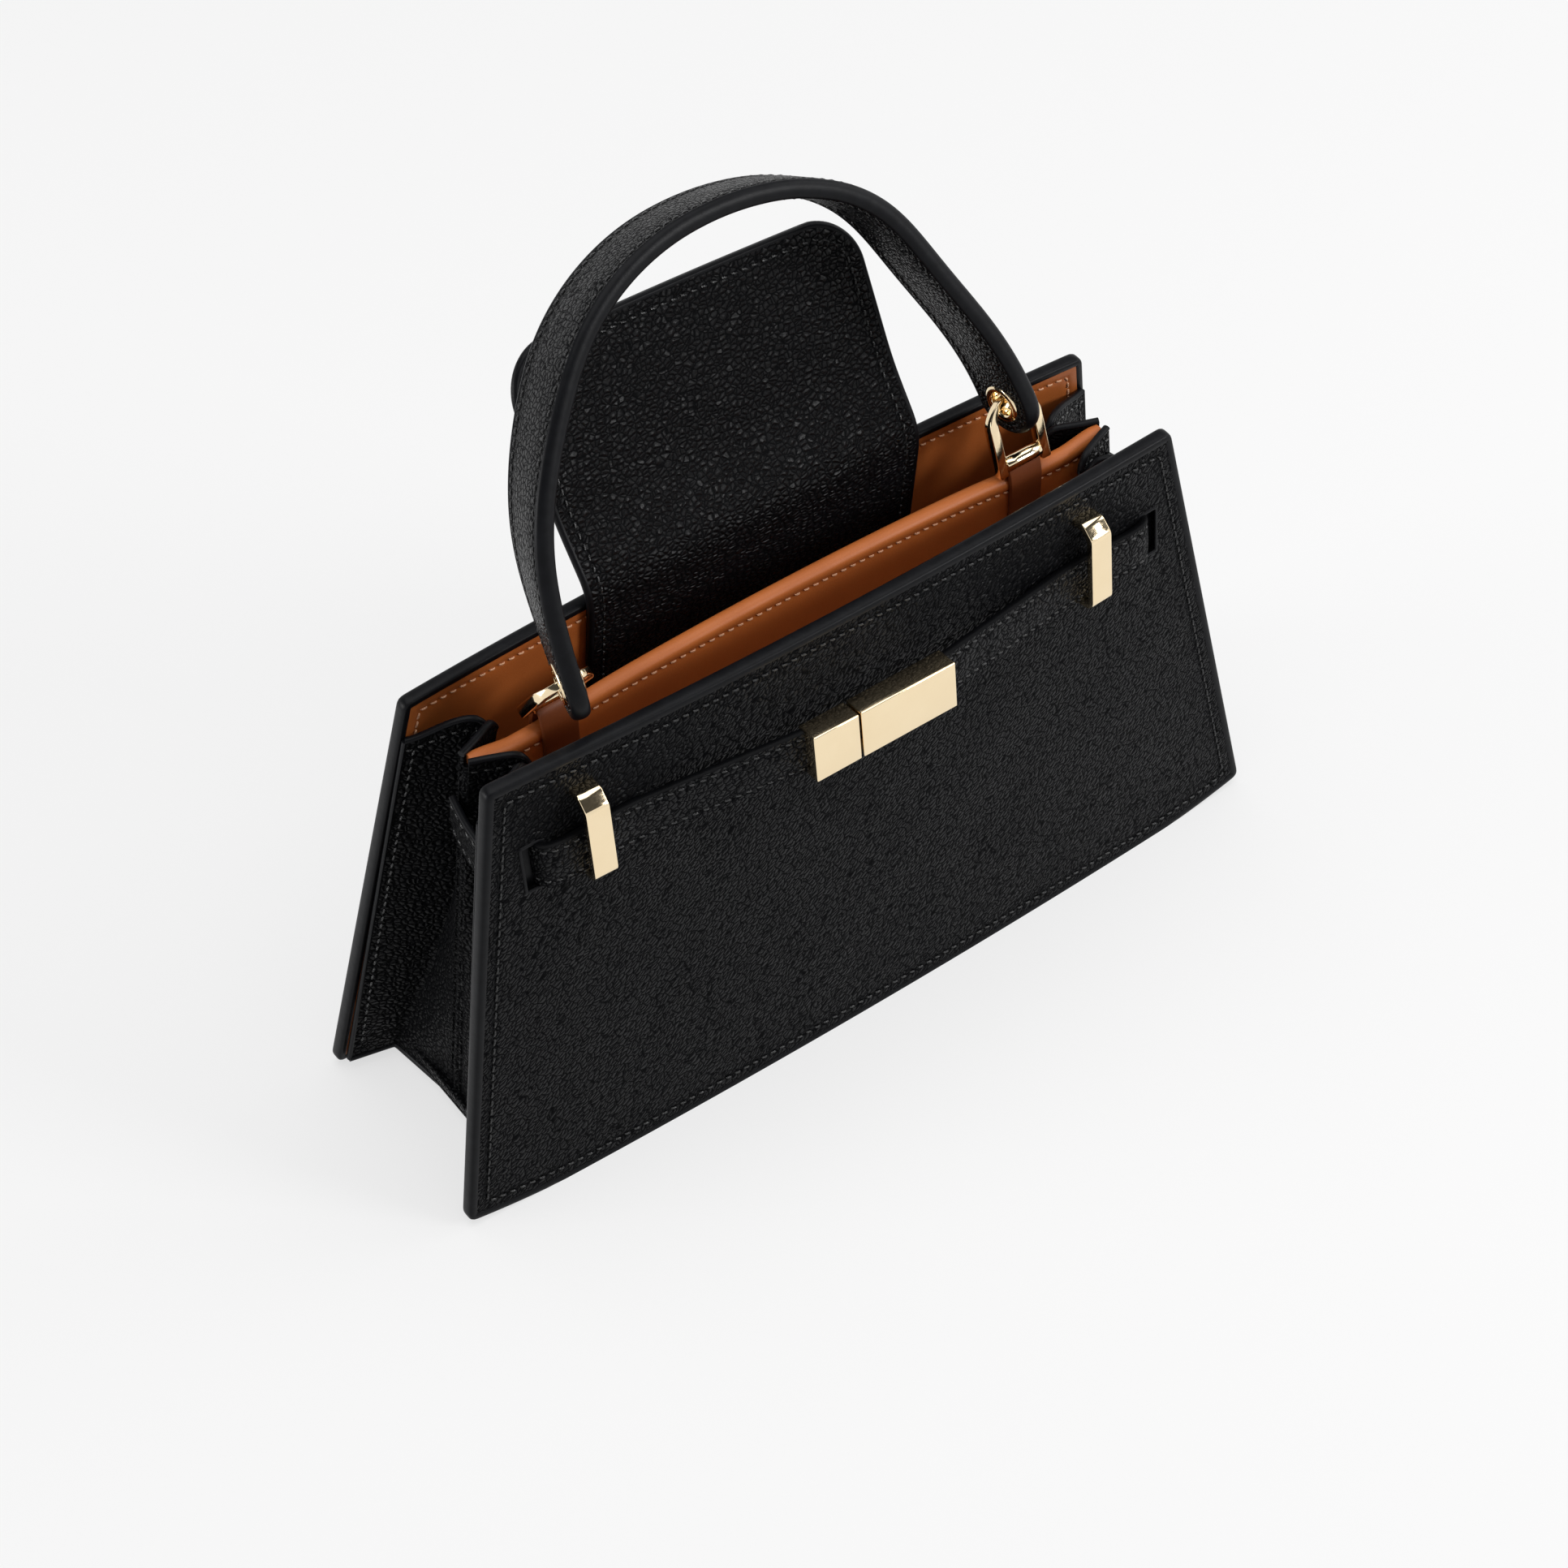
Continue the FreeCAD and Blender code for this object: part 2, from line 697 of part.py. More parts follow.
def handle_frame():
    """Local X along the line of the eyelets, local Z up the leaning arch."""
    left, right = eyelet_point(-1), eyelet_point(1)
    align = FreeCAD.Rotation(X_AXIS, right - left)
    return FreeCAD.Placement((left + right) * 0.5, align.multiply(FreeCAD.Rotation(X_AXIS, -HANDLE_LEAN)))


def arch_values():
    """The side arcs that run on from the top arc and end at the eyelets."""
    half_span = (eyelet_point(1) - eyelet_point(-1)).Length / 2
    top = math.radians(HANDLE_TOP_ANGLE)
    start = V(HANDLE_TOP_R * math.sin(top), 0, HANDLE_H - HANDLE_TOP_R * (1 - math.cos(top)))
    chord = V(half_span, 0, 0) - start
    turn = 2 * (math.atan2(-chord.z, chord.x) - top)
    side_r = chord.Length / (2 * math.sin(turn / 2))
    centre = start - V(math.sin(top), 0, math.cos(top)) * side_r
    return half_span, top, turn, side_r, centre


def handle_layer(offset_low, offset_high):
    """One layer of the strap between two distances from its middle line."""
    half_span, top, turn, side_r, centre = arch_values()
    y = -HANDLE_W / 2
    top_centre = V(0, y, HANDLE_H - HANDLE_TOP_R)
    foot = V(math.cos(top + turn), 0, -math.sin(top + turn)) * (HANDLE_W / 2)

    def spoke(origin, radius, angle):
        return V(origin.x + radius * math.sin(angle), y, origin.z + radius * math.cos(angle))

    def flipped(point):
        return V(-point.x, point.y, point.z)

    def side_run(offset):
        steps = (top, top + turn / 2, top + turn)
        bend = [spoke(centre, side_r + offset, a) for a in steps]
        return bend, bend[2] + foot

    rows = []
    for offset in (offset_low, offset_high):
        bend, end = side_run(offset)
        crown = spoke(top_centre, HANDLE_TOP_R + offset, 0)
        rows.append([
            line(flipped(end), flipped(bend[2])),
            arc(flipped(bend[2]), flipped(bend[1]), flipped(bend[0])),
            arc(flipped(bend[0]), crown, bend[0]),
            arc(bend[0], bend[1], bend[2]),
            line(bend[2], end),
        ])
    ends = [line(rows[0][i].Vertexes[j].Point, rows[1][i].Vertexes[j].Point) for i, j in ((0, 0), (4, 1))]
    outline = Part.Wire(Part.__sortEdges__(rows[0] + rows[1] + ends))
    layer = Part.Face(outline).extrude(V(0, HANDLE_W, 0))
    for side in (-1, 1):
        layer = layer.cut(end_waste(side)).cut(eyelet_barrel(side, EYELET_BARREL_R + FIT))
    return moved(one_solid(layer), handle_frame())


def eyelet_frame(side):
    """Local Z along the eyelet's bore, local X up the strap."""
    half_span, top, turn = arch_values()[:3]
    slope = math.degrees(top + turn)
    rotation = FreeCAD.Rotation(Y_AXIS, side * slope)
    return FreeCAD.Placement(V(side * half_span, 0, 0), rotation)


def eyelet_barrel(side, radius):
    reach = HANDLE_T
    barrel = Part.makeCylinder(radius, 2 * reach, V(0, 0, -reach))
    return moved(barrel, eyelet_frame(side))


def end_waste(side):
    """What is trimmed off below an eyelet to leave a round strap end."""
    reach = HANDLE_T
    below = (0, FAR / 4) if side > 0 else (-FAR / 4, 0)
    block = box(below[0], below[1], -HANDLE_W, HANDLE_W, -reach, reach)
    disc = Part.makeCylinder(HANDLE_W / 2, 2 * reach, V(0, 0, -reach))
    return moved(block.cut(disc), eyelet_frame(side))


def eyelet(side):
    half = HANDLE_T / 2 + EYELET_FLANGE_T + SEAT
    ring = Part.makeCylinder(EYELET_BARREL_R, 2 * half, V(0, 0, -half))
    for end in (-half, half - EYELET_FLANGE_T):
        ring = ring.fuse(Part.makeCylinder(EYELET_FLANGE_R, EYELET_FLANGE_T, V(0, 0, end)))
    ring = ring.cut(Part.makeCylinder(EYELET_R, 2 * half, V(0, 0, -half))).removeSplitter()
    return moved(moved(one_solid(ring), eyelet_frame(side)), handle_frame())


def handle_parts():
    core = HANDLE_CORE_T / 2
    face = HANDLE_T / 2
    parts = {
        "handle_outer": handle_layer(core, face),
        "handle_core": handle_layer(-core, core),
        "handle_lining": handle_layer(-face, -core),
    }
    for side, name in ((-1, "left"), (1, "right")):
        parts[f"eyelet_{name}"] = eyelet(side)
        parts[f"shackle_{name}"] = shackle(side)
        parts[f"shackle_bar_{name}"] = shackle_bar(side)
        parts[f"handle_tab_{name}"] = handle_tab(side)
    return parts


def all_parts():
    parts = {}
    for group in (panel_parts, base_parts, divider_parts, gusset_parts, belt_parts, flap_parts, handle_parts):
        parts.update(group())
    return parts


def frame_shift(parts):
    """Brings the middle of the whole bag's depth over the origin."""
    boxes = [shape.optimalBoundingBox() for shape in parts.values()]
    return V(0, -(min(b.YMin for b in boxes) + max(b.YMax for b in boxes)) / 2, 0)


def main():
    os.makedirs("parts", exist_ok=True)
    parts = all_parts()
    shift = frame_shift(parts)
    for name, shape in parts.items():
        placed = moved(shape, FreeCAD.Placement(shift, FreeCAD.Rotation()))
        placed.exportStep(f"parts/{name}.step")
        print(name, len(placed.Solids), placed.isValid(), round(placed.Volume, 1))
    print("shift", shift)


if __name__ == "__main__":
    main()
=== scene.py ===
import json
import math

import bmesh
import bpy
import numpy as np
from mathutils import Matrix, Vector


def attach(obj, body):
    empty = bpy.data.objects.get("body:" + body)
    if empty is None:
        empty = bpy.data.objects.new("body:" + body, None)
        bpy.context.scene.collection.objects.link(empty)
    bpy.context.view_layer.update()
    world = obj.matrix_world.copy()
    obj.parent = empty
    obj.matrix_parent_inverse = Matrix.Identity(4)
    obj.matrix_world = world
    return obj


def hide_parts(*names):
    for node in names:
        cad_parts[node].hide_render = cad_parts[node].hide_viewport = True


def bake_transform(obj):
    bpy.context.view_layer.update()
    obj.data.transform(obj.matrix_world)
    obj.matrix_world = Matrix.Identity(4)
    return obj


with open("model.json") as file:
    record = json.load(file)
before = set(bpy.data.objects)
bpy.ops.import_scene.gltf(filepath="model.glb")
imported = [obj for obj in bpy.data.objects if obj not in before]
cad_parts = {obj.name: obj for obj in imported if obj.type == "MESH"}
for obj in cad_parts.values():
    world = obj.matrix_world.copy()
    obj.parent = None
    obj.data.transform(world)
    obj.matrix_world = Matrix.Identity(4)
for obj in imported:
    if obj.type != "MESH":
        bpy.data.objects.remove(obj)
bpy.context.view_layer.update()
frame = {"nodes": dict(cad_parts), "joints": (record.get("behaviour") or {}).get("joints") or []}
JOINTS = {joint["name"]: joint for joint in frame["joints"]}

# Lengths are in millimetres, measured from the bag's middle plane, until a mesh is made.
MM = 0.001
SHIFT_Y = JOINTS["handle_swing"]["pos_m"][1]
MIRROR = np.array([-1, 1])

# Panels
BOTTOM_HALF_W, TOP_HALF_W = 125.0, 100.7
PANEL_H = 132.0
LOW_Z, HIGH_Z = 3.1, 131.8
TOP_FLAT_HALF, BOTTOM_FLAT_HALF = 75.0, 86.0
BOTTOM_HALF_D, TOP_HALF_D = 32.9, 19.3
PANEL_BOW = 3.0
PANEL_T, LEATHER_T, LINING_DEPTH = 3.6, 1.6, 2.4
SIDE_COS, SIDE_STRETCH = 0.983, 1.017
SKIN_INSET, STITCH_INSET = 1.0, 4.0
EDGE_REACH, EDGE_PROUD, EDGE_ROOT, EDGE_SHOULDER = 1.0, 0.12, -2.0, 0.75

# Base, divider and gussets
BASE_LOW, BASE_TOP = 4.5, 9.0
BASE_HALF_L, LINING_HALF_L = 110.0, 103.0
BASE_GAP, BASE_SEAM_HALF_L, BASE_SEAM_IN = 0.2, 100.5, 5.2
DIVIDER_HALF_T, DIVIDER_ROLL, DIVIDER_SEAM = 2.0, 2.25, 4.1
DIVIDER_LOW_HALF, DIVIDER_TOP_HALF = 107.0, 94.5
DIVIDER_END_H, DIVIDER_MID_H = 122.6, 127.8
DIVIDER_DIP, DIP_AT, DIP_REACH = 1.0, 74, 13
DIVIDER_LIFT, LIFT_AT, LIFT_RUN = 2.2, 82, 12
GUSSET_T = 1.4
GUSSET_FOOT, GUSSET_TOP = 4.2, 120.0
LEAF_COLUMNS, LEAF_ROWS = 44, 40
FOLD_LOW, FOLD_HIGH, FOLD_AT = (111.0, 25.0), (81.5, 7.5), 0.57
EAR_LOW, EAR_RISE, EAR_RUN, EAR_NOTCH, NOTCH_REACH = 1.0, 3.8, 0.4, 5.0, 0.075

# Belt, keepers and clasp
BELT_T, BELT_Z = 2.2, 105.7
SLOT_X = 93.43
SLOT_W, SLOT_H, SLOT_OPEN = 3.6, 14.0, 2.4
# A black plate behind each slot, painted shade for the slot's dark inside: its low and high corners
SLOT_SHADE_FLOOR = (-3.8, 1.7, -8), (3.8, 2.3, 8)
SLOT_RIM_W, SLOT_RIM_T, SLOT_RIM_SINK = 0.45, 0.32, 0.05
KEEPER_X, KEEPER_Z = 75.43, 109.0
KEEPER_SHIFT, KEEPER_LIFT = {1: -4.0, -1: -2.4}, {1: 2.2, -1: 1.6}
KEEPER_HALF_W, KEEPER_HALF_T, KEEPER_CORNER = 3.2, 1.1, 0.3
KEEPER_LINE = np.array([(-2.2, -12.0), (4.4, -12.0), (6.0, -10.4), (6.0, 9.2), (3.4, 12.0), (-2.2, 12.0)])
BELT_TAIL = ((86.0, 2.3), (80.0, 1.9), (KEEPER_X, 1.6), (70.0, 1.45))
LEAD_IN_CLASP = 8.5
CLASP_START, CLASP_END = {1: 45.3, -1: 45.154}, {1: 73.7, -1: 58.5}
CLASP_T, CLASP_HALF_W, CLASP_BACK = 6.5, 7.0, 0.4
TONGUE_L, TONGUE_HALF_W = 16.0, 4.3

# Flap
FLAP_HALF_W, FLAP_T = 49.4, 2.2
FLAP_CORNER_R = 13.0
FLAP_TWIST, FLAP_TWIST_BASE, FLAP_TWIST_RISE = 1.6, 2.2, 0.35
FLAP_SWAY, FLAP_EXTRA = 1.4, 2.2
FLAP_LEANS = ((18.0, 39.4), (22.3, 23.1), (16.5, 23.1))
FLAP_SEAT_Z, FLAP_SEAT_GAP = (90.0, 136.2), 0.3
FLAP_FREE, FLAP_SEAM = 50, 79.0
FLAP_CURL, CURL_FROM, CURL_RUN = 0.9, 46, 20
FLAP_WAVE, WAVE_L = 0.5, 17.0

# Handle
TAB_X = {1: 68.7, -1: -71.0}
TAB_W, TAB_T, TAB_DROP = 10.0, 1.4, 30.0
BAR_Z = 130.571
SHACKLE_L, SHACKLE_HALF = 14.5, 6.6
SHACKLE_HALF_W, SHACKLE_HALF_D, SHACKLE_CORNER = 1.35, 1.5, 0.4
BAR_DROP, SHACKLE_FOOT = 1.8, 2.5
BAR_TURNING = ((-5.4, 1.7), (-5.2, 2.0), (-2.0, 2.0), (2.0, 2.0), (5.2, 2.0), (5.4, 1.7))
SHACKLE_LEAN = {1: 22.0, -1: -35.0}
HANDLE_HALF_W, HANDLE_T = 9.2, 4.6
HANDLE_H, HANDLE_TOP_R, HANDLE_TOP_ANGLE, HANDLE_LEAN = 86.0, 56.0, 48.5, 27.5
HANDLE_SWAY, HANDLE_SINK = 3.6, 2.5
HANDLE_DRAW = {-1: 2.0, 1: 0.8}
LEG_UP, LEG_REACH, LEG_OUT = 0.42, 0.26, 30
SHOULDER, SHOULDER_UP, SHOULDER_REACH = 4.2, 0.73, 0.2
HANDLE_TWIST, TWIST_RUN = 22.0, 80.0
HANDLE_SEAM, EYELET_HOLE_R = 2.6, 3.9

# Threads: stations along a stitch, how high and how thick it is at each
STITCH_PITCH, STITCH_L, STITCH_SLANT = 2.8, 2.0, 0.35
STITCH_ALONG = np.array([-0.5, -0.36, 0.0, 0.36, 0.5])
STITCH_RISE = np.array([-1.3, 0.1, 0.55, 0.1, -1.3])
STITCH_GIRTH = np.array([0.5, 0.95, 1.0, 0.95, 0.5])
THREAD_SIDES, THREAD_FLAT = 6, 1.15

# Angles above which an edge is shaded sharp
SHARP, METAL_SHARP, KEEPER_SHARP, CLASP_SHARP = 42.0, 60, 50, 35


def to_row(points):
    """Millimetres from the middle plane to metres in the row's frame."""
    return np.asarray(points, float) * MM + np.array([0.0, SHIFT_Y, 0.0])


def between(low, high, z, z_low=LOW_Z, z_high=HIGH_Z):
    return low + (high - low) * (z - z_low) / (z_high - z_low)


def half_width(z):
    return between(BOTTOM_HALF_W, TOP_HALF_W, z)


def divider_end(z):
    return between(DIVIDER_LOW_HALF, DIVIDER_TOP_HALF, z, BASE_TOP, DIVIDER_END_H)


def face_y(x, z):
    """How far a panel's outer face is from the middle plane."""
    bow = PANEL_BOW * (1 - (x / half_width(z)) ** 2)
    return between(BOTTOM_HALF_D, TOP_HALF_D, z) + bow


def past_flat(x, flat_half, half):
    """How far x is past the flat middle of an edge, as a share of the rest."""
    return np.clip((np.abs(x) - flat_half) / (half - flat_half), 0, None)


def panel_bottom(x):
    return LOW_Z * past_flat(x, BOTTOM_FLAT_HALF, BOTTOM_HALF_W) ** 2


def panel_top(x):
    return PANEL_H - (PANEL_H - HIGH_Z) * past_flat(x, TOP_FLAT_HALF, TOP_HALF_W) ** 2


def smoothstep(t):
    t = np.clip(t, 0, 1)
    return t * t * (3 - 2 * t)


def unit(v):
    v = np.asarray(v, float)
    return v / np.linalg.norm(v, axis=-1, keepdims=True)


def circle(count):
    """Angles evenly spaced around a full turn."""
    return np.arange(count) * 2 * math.pi / count


def run_length(points):
    """The distance along a polyline at each of its points."""
    return np.concatenate([[0], np.cumsum(np.linalg.norm(np.diff(points, axis=0), axis=1))])


def at_run(s, run, values):
    """A pair of values, given along a line, at other distances along it."""
    return np.interp(s, run, values[:, 0]), np.interp(s, run, values[:, 1])


def resample(points, step, closed=False):
    """Points evenly spaced along a polyline."""
    pts = np.asarray(points, float)
    if closed:
        pts = np.vstack([pts, pts[:1]])
    run = run_length(pts)
    count = max(2, int(round(run[-1] / step)))
    at = np.linspace(0, run[-1], count + 1)
    if closed:
        at = at[:-1]
    return np.stack([np.interp(at, run, pts[:, i]) for i in range(pts.shape[1])], axis=1)


def relaxed(points, step, width, closed=False):
    """An evenly spaced polyline whose corners are rounded over about the given width."""
    pts = resample(points, step, closed)
    reach = min(len(pts) - 1, max(1, int(3 * width / step)))
    kernel = np.exp(-0.5 * (np.arange(-reach, reach + 1) * step / width) ** 2)
    kernel /= kernel.sum()
    if closed:
        wide = np.vstack([pts[-reach:], pts, pts[:reach]])
    else:
        head = 2 * pts[0] - pts[1:reach + 1][::-1]
        tail = 2 * pts[-1] - pts[-reach - 1:-1][::-1]
        wide = np.vstack([head, pts, tail])
    return np.stack([np.convolve(wide[:, i], kernel, "valid") for i in range(pts.shape[1])], axis=1)


def directions(points, closed=False):
    if closed:
        return unit(np.roll(points, -1, 0) - np.roll(points, 1, 0))
    return unit(np.gradient(points, axis=0))


def side_normals(line, closed=False):
    """The normals of a plane line, to the right of its direction."""
    along = directions(line, closed)
    return np.stack([along[:, 1], -along[:, 0]], 1)


def grown(line, outward, off):
    """The two coordinates of a plane line, moved outward by each of several distances."""
    return (line[:, None, 0] + outward[:, None, 0] * off[None],
            line[:, None, 1] + outward[:, None, 1] * off[None])


def rounded_section(half_a, half_b, corner):
    """The outline of a flat bar with rounded corners."""
    points = []
    for sign_a, sign_b, start in ((1, 1, 0), (-1, 1, 90), (-1, -1, 180), (1, -1, 270)):
        for turn in np.radians(start + np.array([0, 30, 60, 90])):
            points.append((sign_a * (half_a - corner) + corner * math.cos(turn),
                           sign_b * (half_b - corner) + corner * math.sin(turn)))
    return np.array(points)


def paint_section(reach, drawn, half, root, count):
    """A painted edge's section: how far out and how deep its points are, with a root in the leather."""
    turn = np.radians(np.linspace(-90, 90, count))
    off = np.concatenate([reach * np.cos(turn) - drawn, [EDGE_ROOT, EDGE_ROOT]])
    return off, np.concatenate([half * np.sin(turn), [root, -root]])


def rounded_box(lows, highs, radius, segments):
    """Points and faces of a box with rounded edges, in its own axes."""
    work = bmesh.new()
    bmesh.ops.create_cube(work, size=1.0)
    lows, highs = np.array(lows, float), np.array(highs, float)
    for v in work.verts:
        v.co = Vector(((np.array(v.co) + 0.5) * (highs - lows) + lows).tolist())
    bmesh.ops.bevel(work, geom=list(work.edges), offset=radius, segments=segments, profile=0.5,
                    affect="EDGES")
    work.verts.ensure_lookup_table()
    work.verts.index_update()
    points = np.array([v.co for v in work.verts])
    faces = [[v.index for v in f.verts] for f in work.faces]
    work.free()
    return points, faces


def in_frame(points, spot):
    """Points given in a spot's own axes; a spot is its origin and three axes."""
    origin, ex, ey, ez = spot
    points = np.asarray(points, float)
    return origin + points[..., :1] * ex + points[..., 1:2] * ey + points[..., 2:3] * ez


class Shells:
    """Gathers closed shells, each face with a material slot, and makes one mesh object of them."""

    def __init__(self):
        self.points, self.faces, self.slots, self.count = [], [], [], 0

    def add(self, points, faces, slots):
        points = np.asarray(points, float).reshape(-1, 3)
        self.points.append(points)
        base = self.count
        self.faces.extend([tuple(int(i) + base for i in f) for f in faces])
        self.slots.extend([slots] * len(faces) if np.isscalar(slots) else list(slots))
        self.count += len(points)

    def slab(self, outer, inner, slot=0):
        """A closed sheet between two grids of the same size."""
        n, m = outer.shape[:2]
        size = n * m
        idx = np.arange(size).reshape(n, m)
        a, b, c, d = idx[:-1, :-1], idx[:-1, 1:], idx[1:, 1:], idx[1:, :-1]
        faces = [f for f in np.stack([a, b, c, d], -1).reshape(-1, 4)]
        faces += [f for f in (np.stack([d, c, b, a], -1) + size).reshape(-1, 4)]
        for run in (idx[0], idx[-1][::-1], idx[:, 0][::-1], idx[:, -1]):
            faces += [(q, p, p + size, q + size) for p, q in zip(run[:-1], run[1:])]
        self.add(np.concatenate([outer.reshape(-1, 3), inner.reshape(-1, 3)]), faces, slot)

    def sweep(self, rings, slots=0, closed=False):
        """A tube through rings of points; slots may give one slot for each side of the ring."""
        n, k = rings.shape[:2]
        idx = np.arange(n * k).reshape(n, k)
        nxt = np.roll(idx, -1, 1)
        rows = n if closed else n - 1
        ring_slots = [slots] * k if np.isscalar(slots) else list(slots)
        faces, marks = [], ring_slots * rows
        for i in range(rows):
            j = (i + 1) % n
            faces += zip(idx[i], nxt[i], nxt[j], idx[j])
        if not closed:
            faces += [tuple(idx[0][::-1]), tuple(idx[-1])]
            marks += ring_slots[:1] * 2
        self.add(rings, faces, marks)

    def box(self, lows, highs, radius, segments, spot=None, slot=0):
        """A box with rounded edges, in a spot's axes if one is given."""
        points, faces = rounded_box(lows, highs, radius, segments)
        self.add(points if spot is None else in_frame(points, spot), faces, slot)

    def stitches(self, path, normals, slot, radius=0.26, closed=False):
        """A row of threads that dip into the leather at both ends."""
        pts, nrm = np.asarray(path, float), np.asarray(normals, float)
        if closed:
            pts, nrm = np.vstack([pts, pts[:1]]), np.vstack([nrm, nrm[:1]])
        run = run_length(pts)
        count = max(1, int(run[-1] / STITCH_PITCH))
        mids = (np.arange(count) + 0.5) * run[-1] / count
        at = mids[:, None] + STITCH_ALONG[None] * STITCH_L

        def sample(values):
            return np.stack([np.interp(at, run, values[:, i]) for i in range(3)], -1)

        centre, up = sample(pts), unit(sample(nrm))
        tangent = unit(centre[:, -1:] - centre[:, :1]) + np.zeros_like(centre)
        side = unit(np.cross(tangent, up))
        up = np.cross(side, tangent)
        rise, slant = STITCH_RISE * radius, STITCH_ALONG * STITCH_SLANT
        centre = centre + up * rise[None, :, None] + side * slant[None, :, None]
        turn, girth = circle(THREAD_SIDES), (STITCH_GIRTH * radius)[None, :, None]
        wide = (np.cos(turn)[None, None] * girth)[..., None]
        tall = (np.sin(turn)[None, None] * girth)[..., None]
        for rings in centre[:, :, None] + side[:, :, None] * wide * THREAD_FLAT + up[:, :, None] * tall:
            self.sweep(rings, slot)

    def make(self, name, materials, sharp=SHARP):
        mesh = bpy.data.meshes.new(name)
        mesh.from_pydata(to_row(np.concatenate(self.points)).tolist(), [], self.faces)
        mesh.polygons.foreach_set("material_index", np.array(self.slots, np.int32))
        for material in materials:
            mesh.materials.append(material)
        finish_mesh(mesh, sharp)
        piece = bpy.data.objects.new(name, mesh)
        bpy.context.scene.collection.objects.link(piece)
        return piece


def finish_mesh(mesh, sharp):
    work = bmesh.new()
    work.from_mesh(mesh)
    bmesh.ops.recalc_face_normals(work, faces=work.faces)
    work.to_mesh(mesh)
    work.free()
    mesh.shade_smooth()
    mesh.set_sharp_from_angle(angle=math.radians(sharp))
    mesh.update()


def carve(piece, cutter, sharp=SHARP):
    """Cuts one closed mesh out of another for good."""
    cut = piece.modifiers.new("cut", "BOOLEAN")
    cut.operation, cut.solver, cut.object = "DIFFERENCE", "EXACT", cutter
    shape = bpy.data.meshes.new_from_object(piece.evaluated_get(bpy.context.evaluated_depsgraph_get()))
    piece.modifiers.clear()
    old, name = piece.data, piece.data.name
    piece.data = shape
    bpy.data.meshes.remove(old)
    shape.name = name
    bpy.data.objects.remove(cutter)
    finish_mesh(shape, sharp)


def place(piece, body, slot, *nodes):
    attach(piece, body)
    if nodes:
        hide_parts(*nodes)


# Materials


class Nodes:
    """A short way to write a node material."""

    def __init__(self, name):
        self.material = bpy.data.materials.new(name)
        self.material.use_nodes = True
        self.tree = self.material.node_tree
        self.shader = self.tree.nodes["Principled BSDF"]

    def set(self, node, socket, value):
        target = node.inputs[socket]
        if isinstance(value, bpy.types.NodeSocket):
            self.tree.links.new(value, target)
        else:
            target.default_value = value

    def node(self, kind, settings=(), *values, **inputs):
        """A new node: its settings, and its inputs in order or by name."""
        made = self.tree.nodes.new(kind)
        for key, value in dict(settings).items():
            setattr(made, key, value)
        for i, value in enumerate(values):
            self.set(made, i, value)
        for key, value in inputs.items():
            self.set(made, key, value)
        return made

    def math(self, operation, a, b):
        return self.node("ShaderNodeMath", {"operation": operation}, a, b).outputs[0]

    def remap(self, value, from_low, from_high, to_low, to_high):
        """A smooth step from one range of values to another."""
        made = self.node("ShaderNodeMapRange", {"interpolation_type": "SMOOTHSTEP"}, value, from_low,
                         from_high, to_low, to_high)
        return made.outputs[0]

    def blend(self, factor, a, b):
        """A mix of two colours."""
        made = self.node("ShaderNodeMix", {"data_type": "RGBA"}, Factor=factor)
        made.inputs[6].default_value = (*a, 1)
        made.inputs[7].default_value = (*b, 1)
        return made.outputs[2]

    def place(self, turn=(0, 0, 0), scale=(1 / MM, 1 / MM, 1 / MM)):
        """Object coordinates, turned and then stretched."""
        coord = self.node("ShaderNodeTexCoord").outputs["Object"]
        turned = self.node("ShaderNodeMapping", Vector=coord, Rotation=[math.radians(a) for a in turn])
        return self.node("ShaderNodeMapping", Vector=turned.outputs[0], Scale=scale).outputs[0]

    def noise(self, vector, scale, detail=2.0, rough=0.5):
        made = self.node("ShaderNodeTexNoise", Vector=vector, Scale=scale, Detail=detail, Roughness=rough)
        return made.outputs["Fac"]

    def surface(self, colour, rough, shine=None):
        self.set(self.shader, "Base Color", colour)
        self.set(self.shader, "Roughness", rough)
        if shine is not None:
            self.set(self.shader, "Specular IOR Level", shine)

    def bump(self, height, strength, distance):
        made = self.node("ShaderNodeBump", Height=height, Strength=strength, Distance=distance)
        self.set(self.shader, "Normal", made.outputs[0])


# The leather's own black, and a darker black painted into the creases between pebbles as shade
BLACK_RIDGE, BLACK_CREASE_SHADE = (0.0066, 0.0068, 0.0078), (0.0040, 0.0041, 0.0047)
LEATHER_ROUGH, LEATHER_DEPTH, LEATHER_DRIFT = (0.34, 0.48), 0.5, (0.45, 0.45, 0.45)
PEBBLE_EDGE, CREASE_EDGE = 0.42, 0.17
LINING_ROUGH, LINING_SHINE = (0.42, 0.56), 0.4
THIN = (1, 0.08, 1)


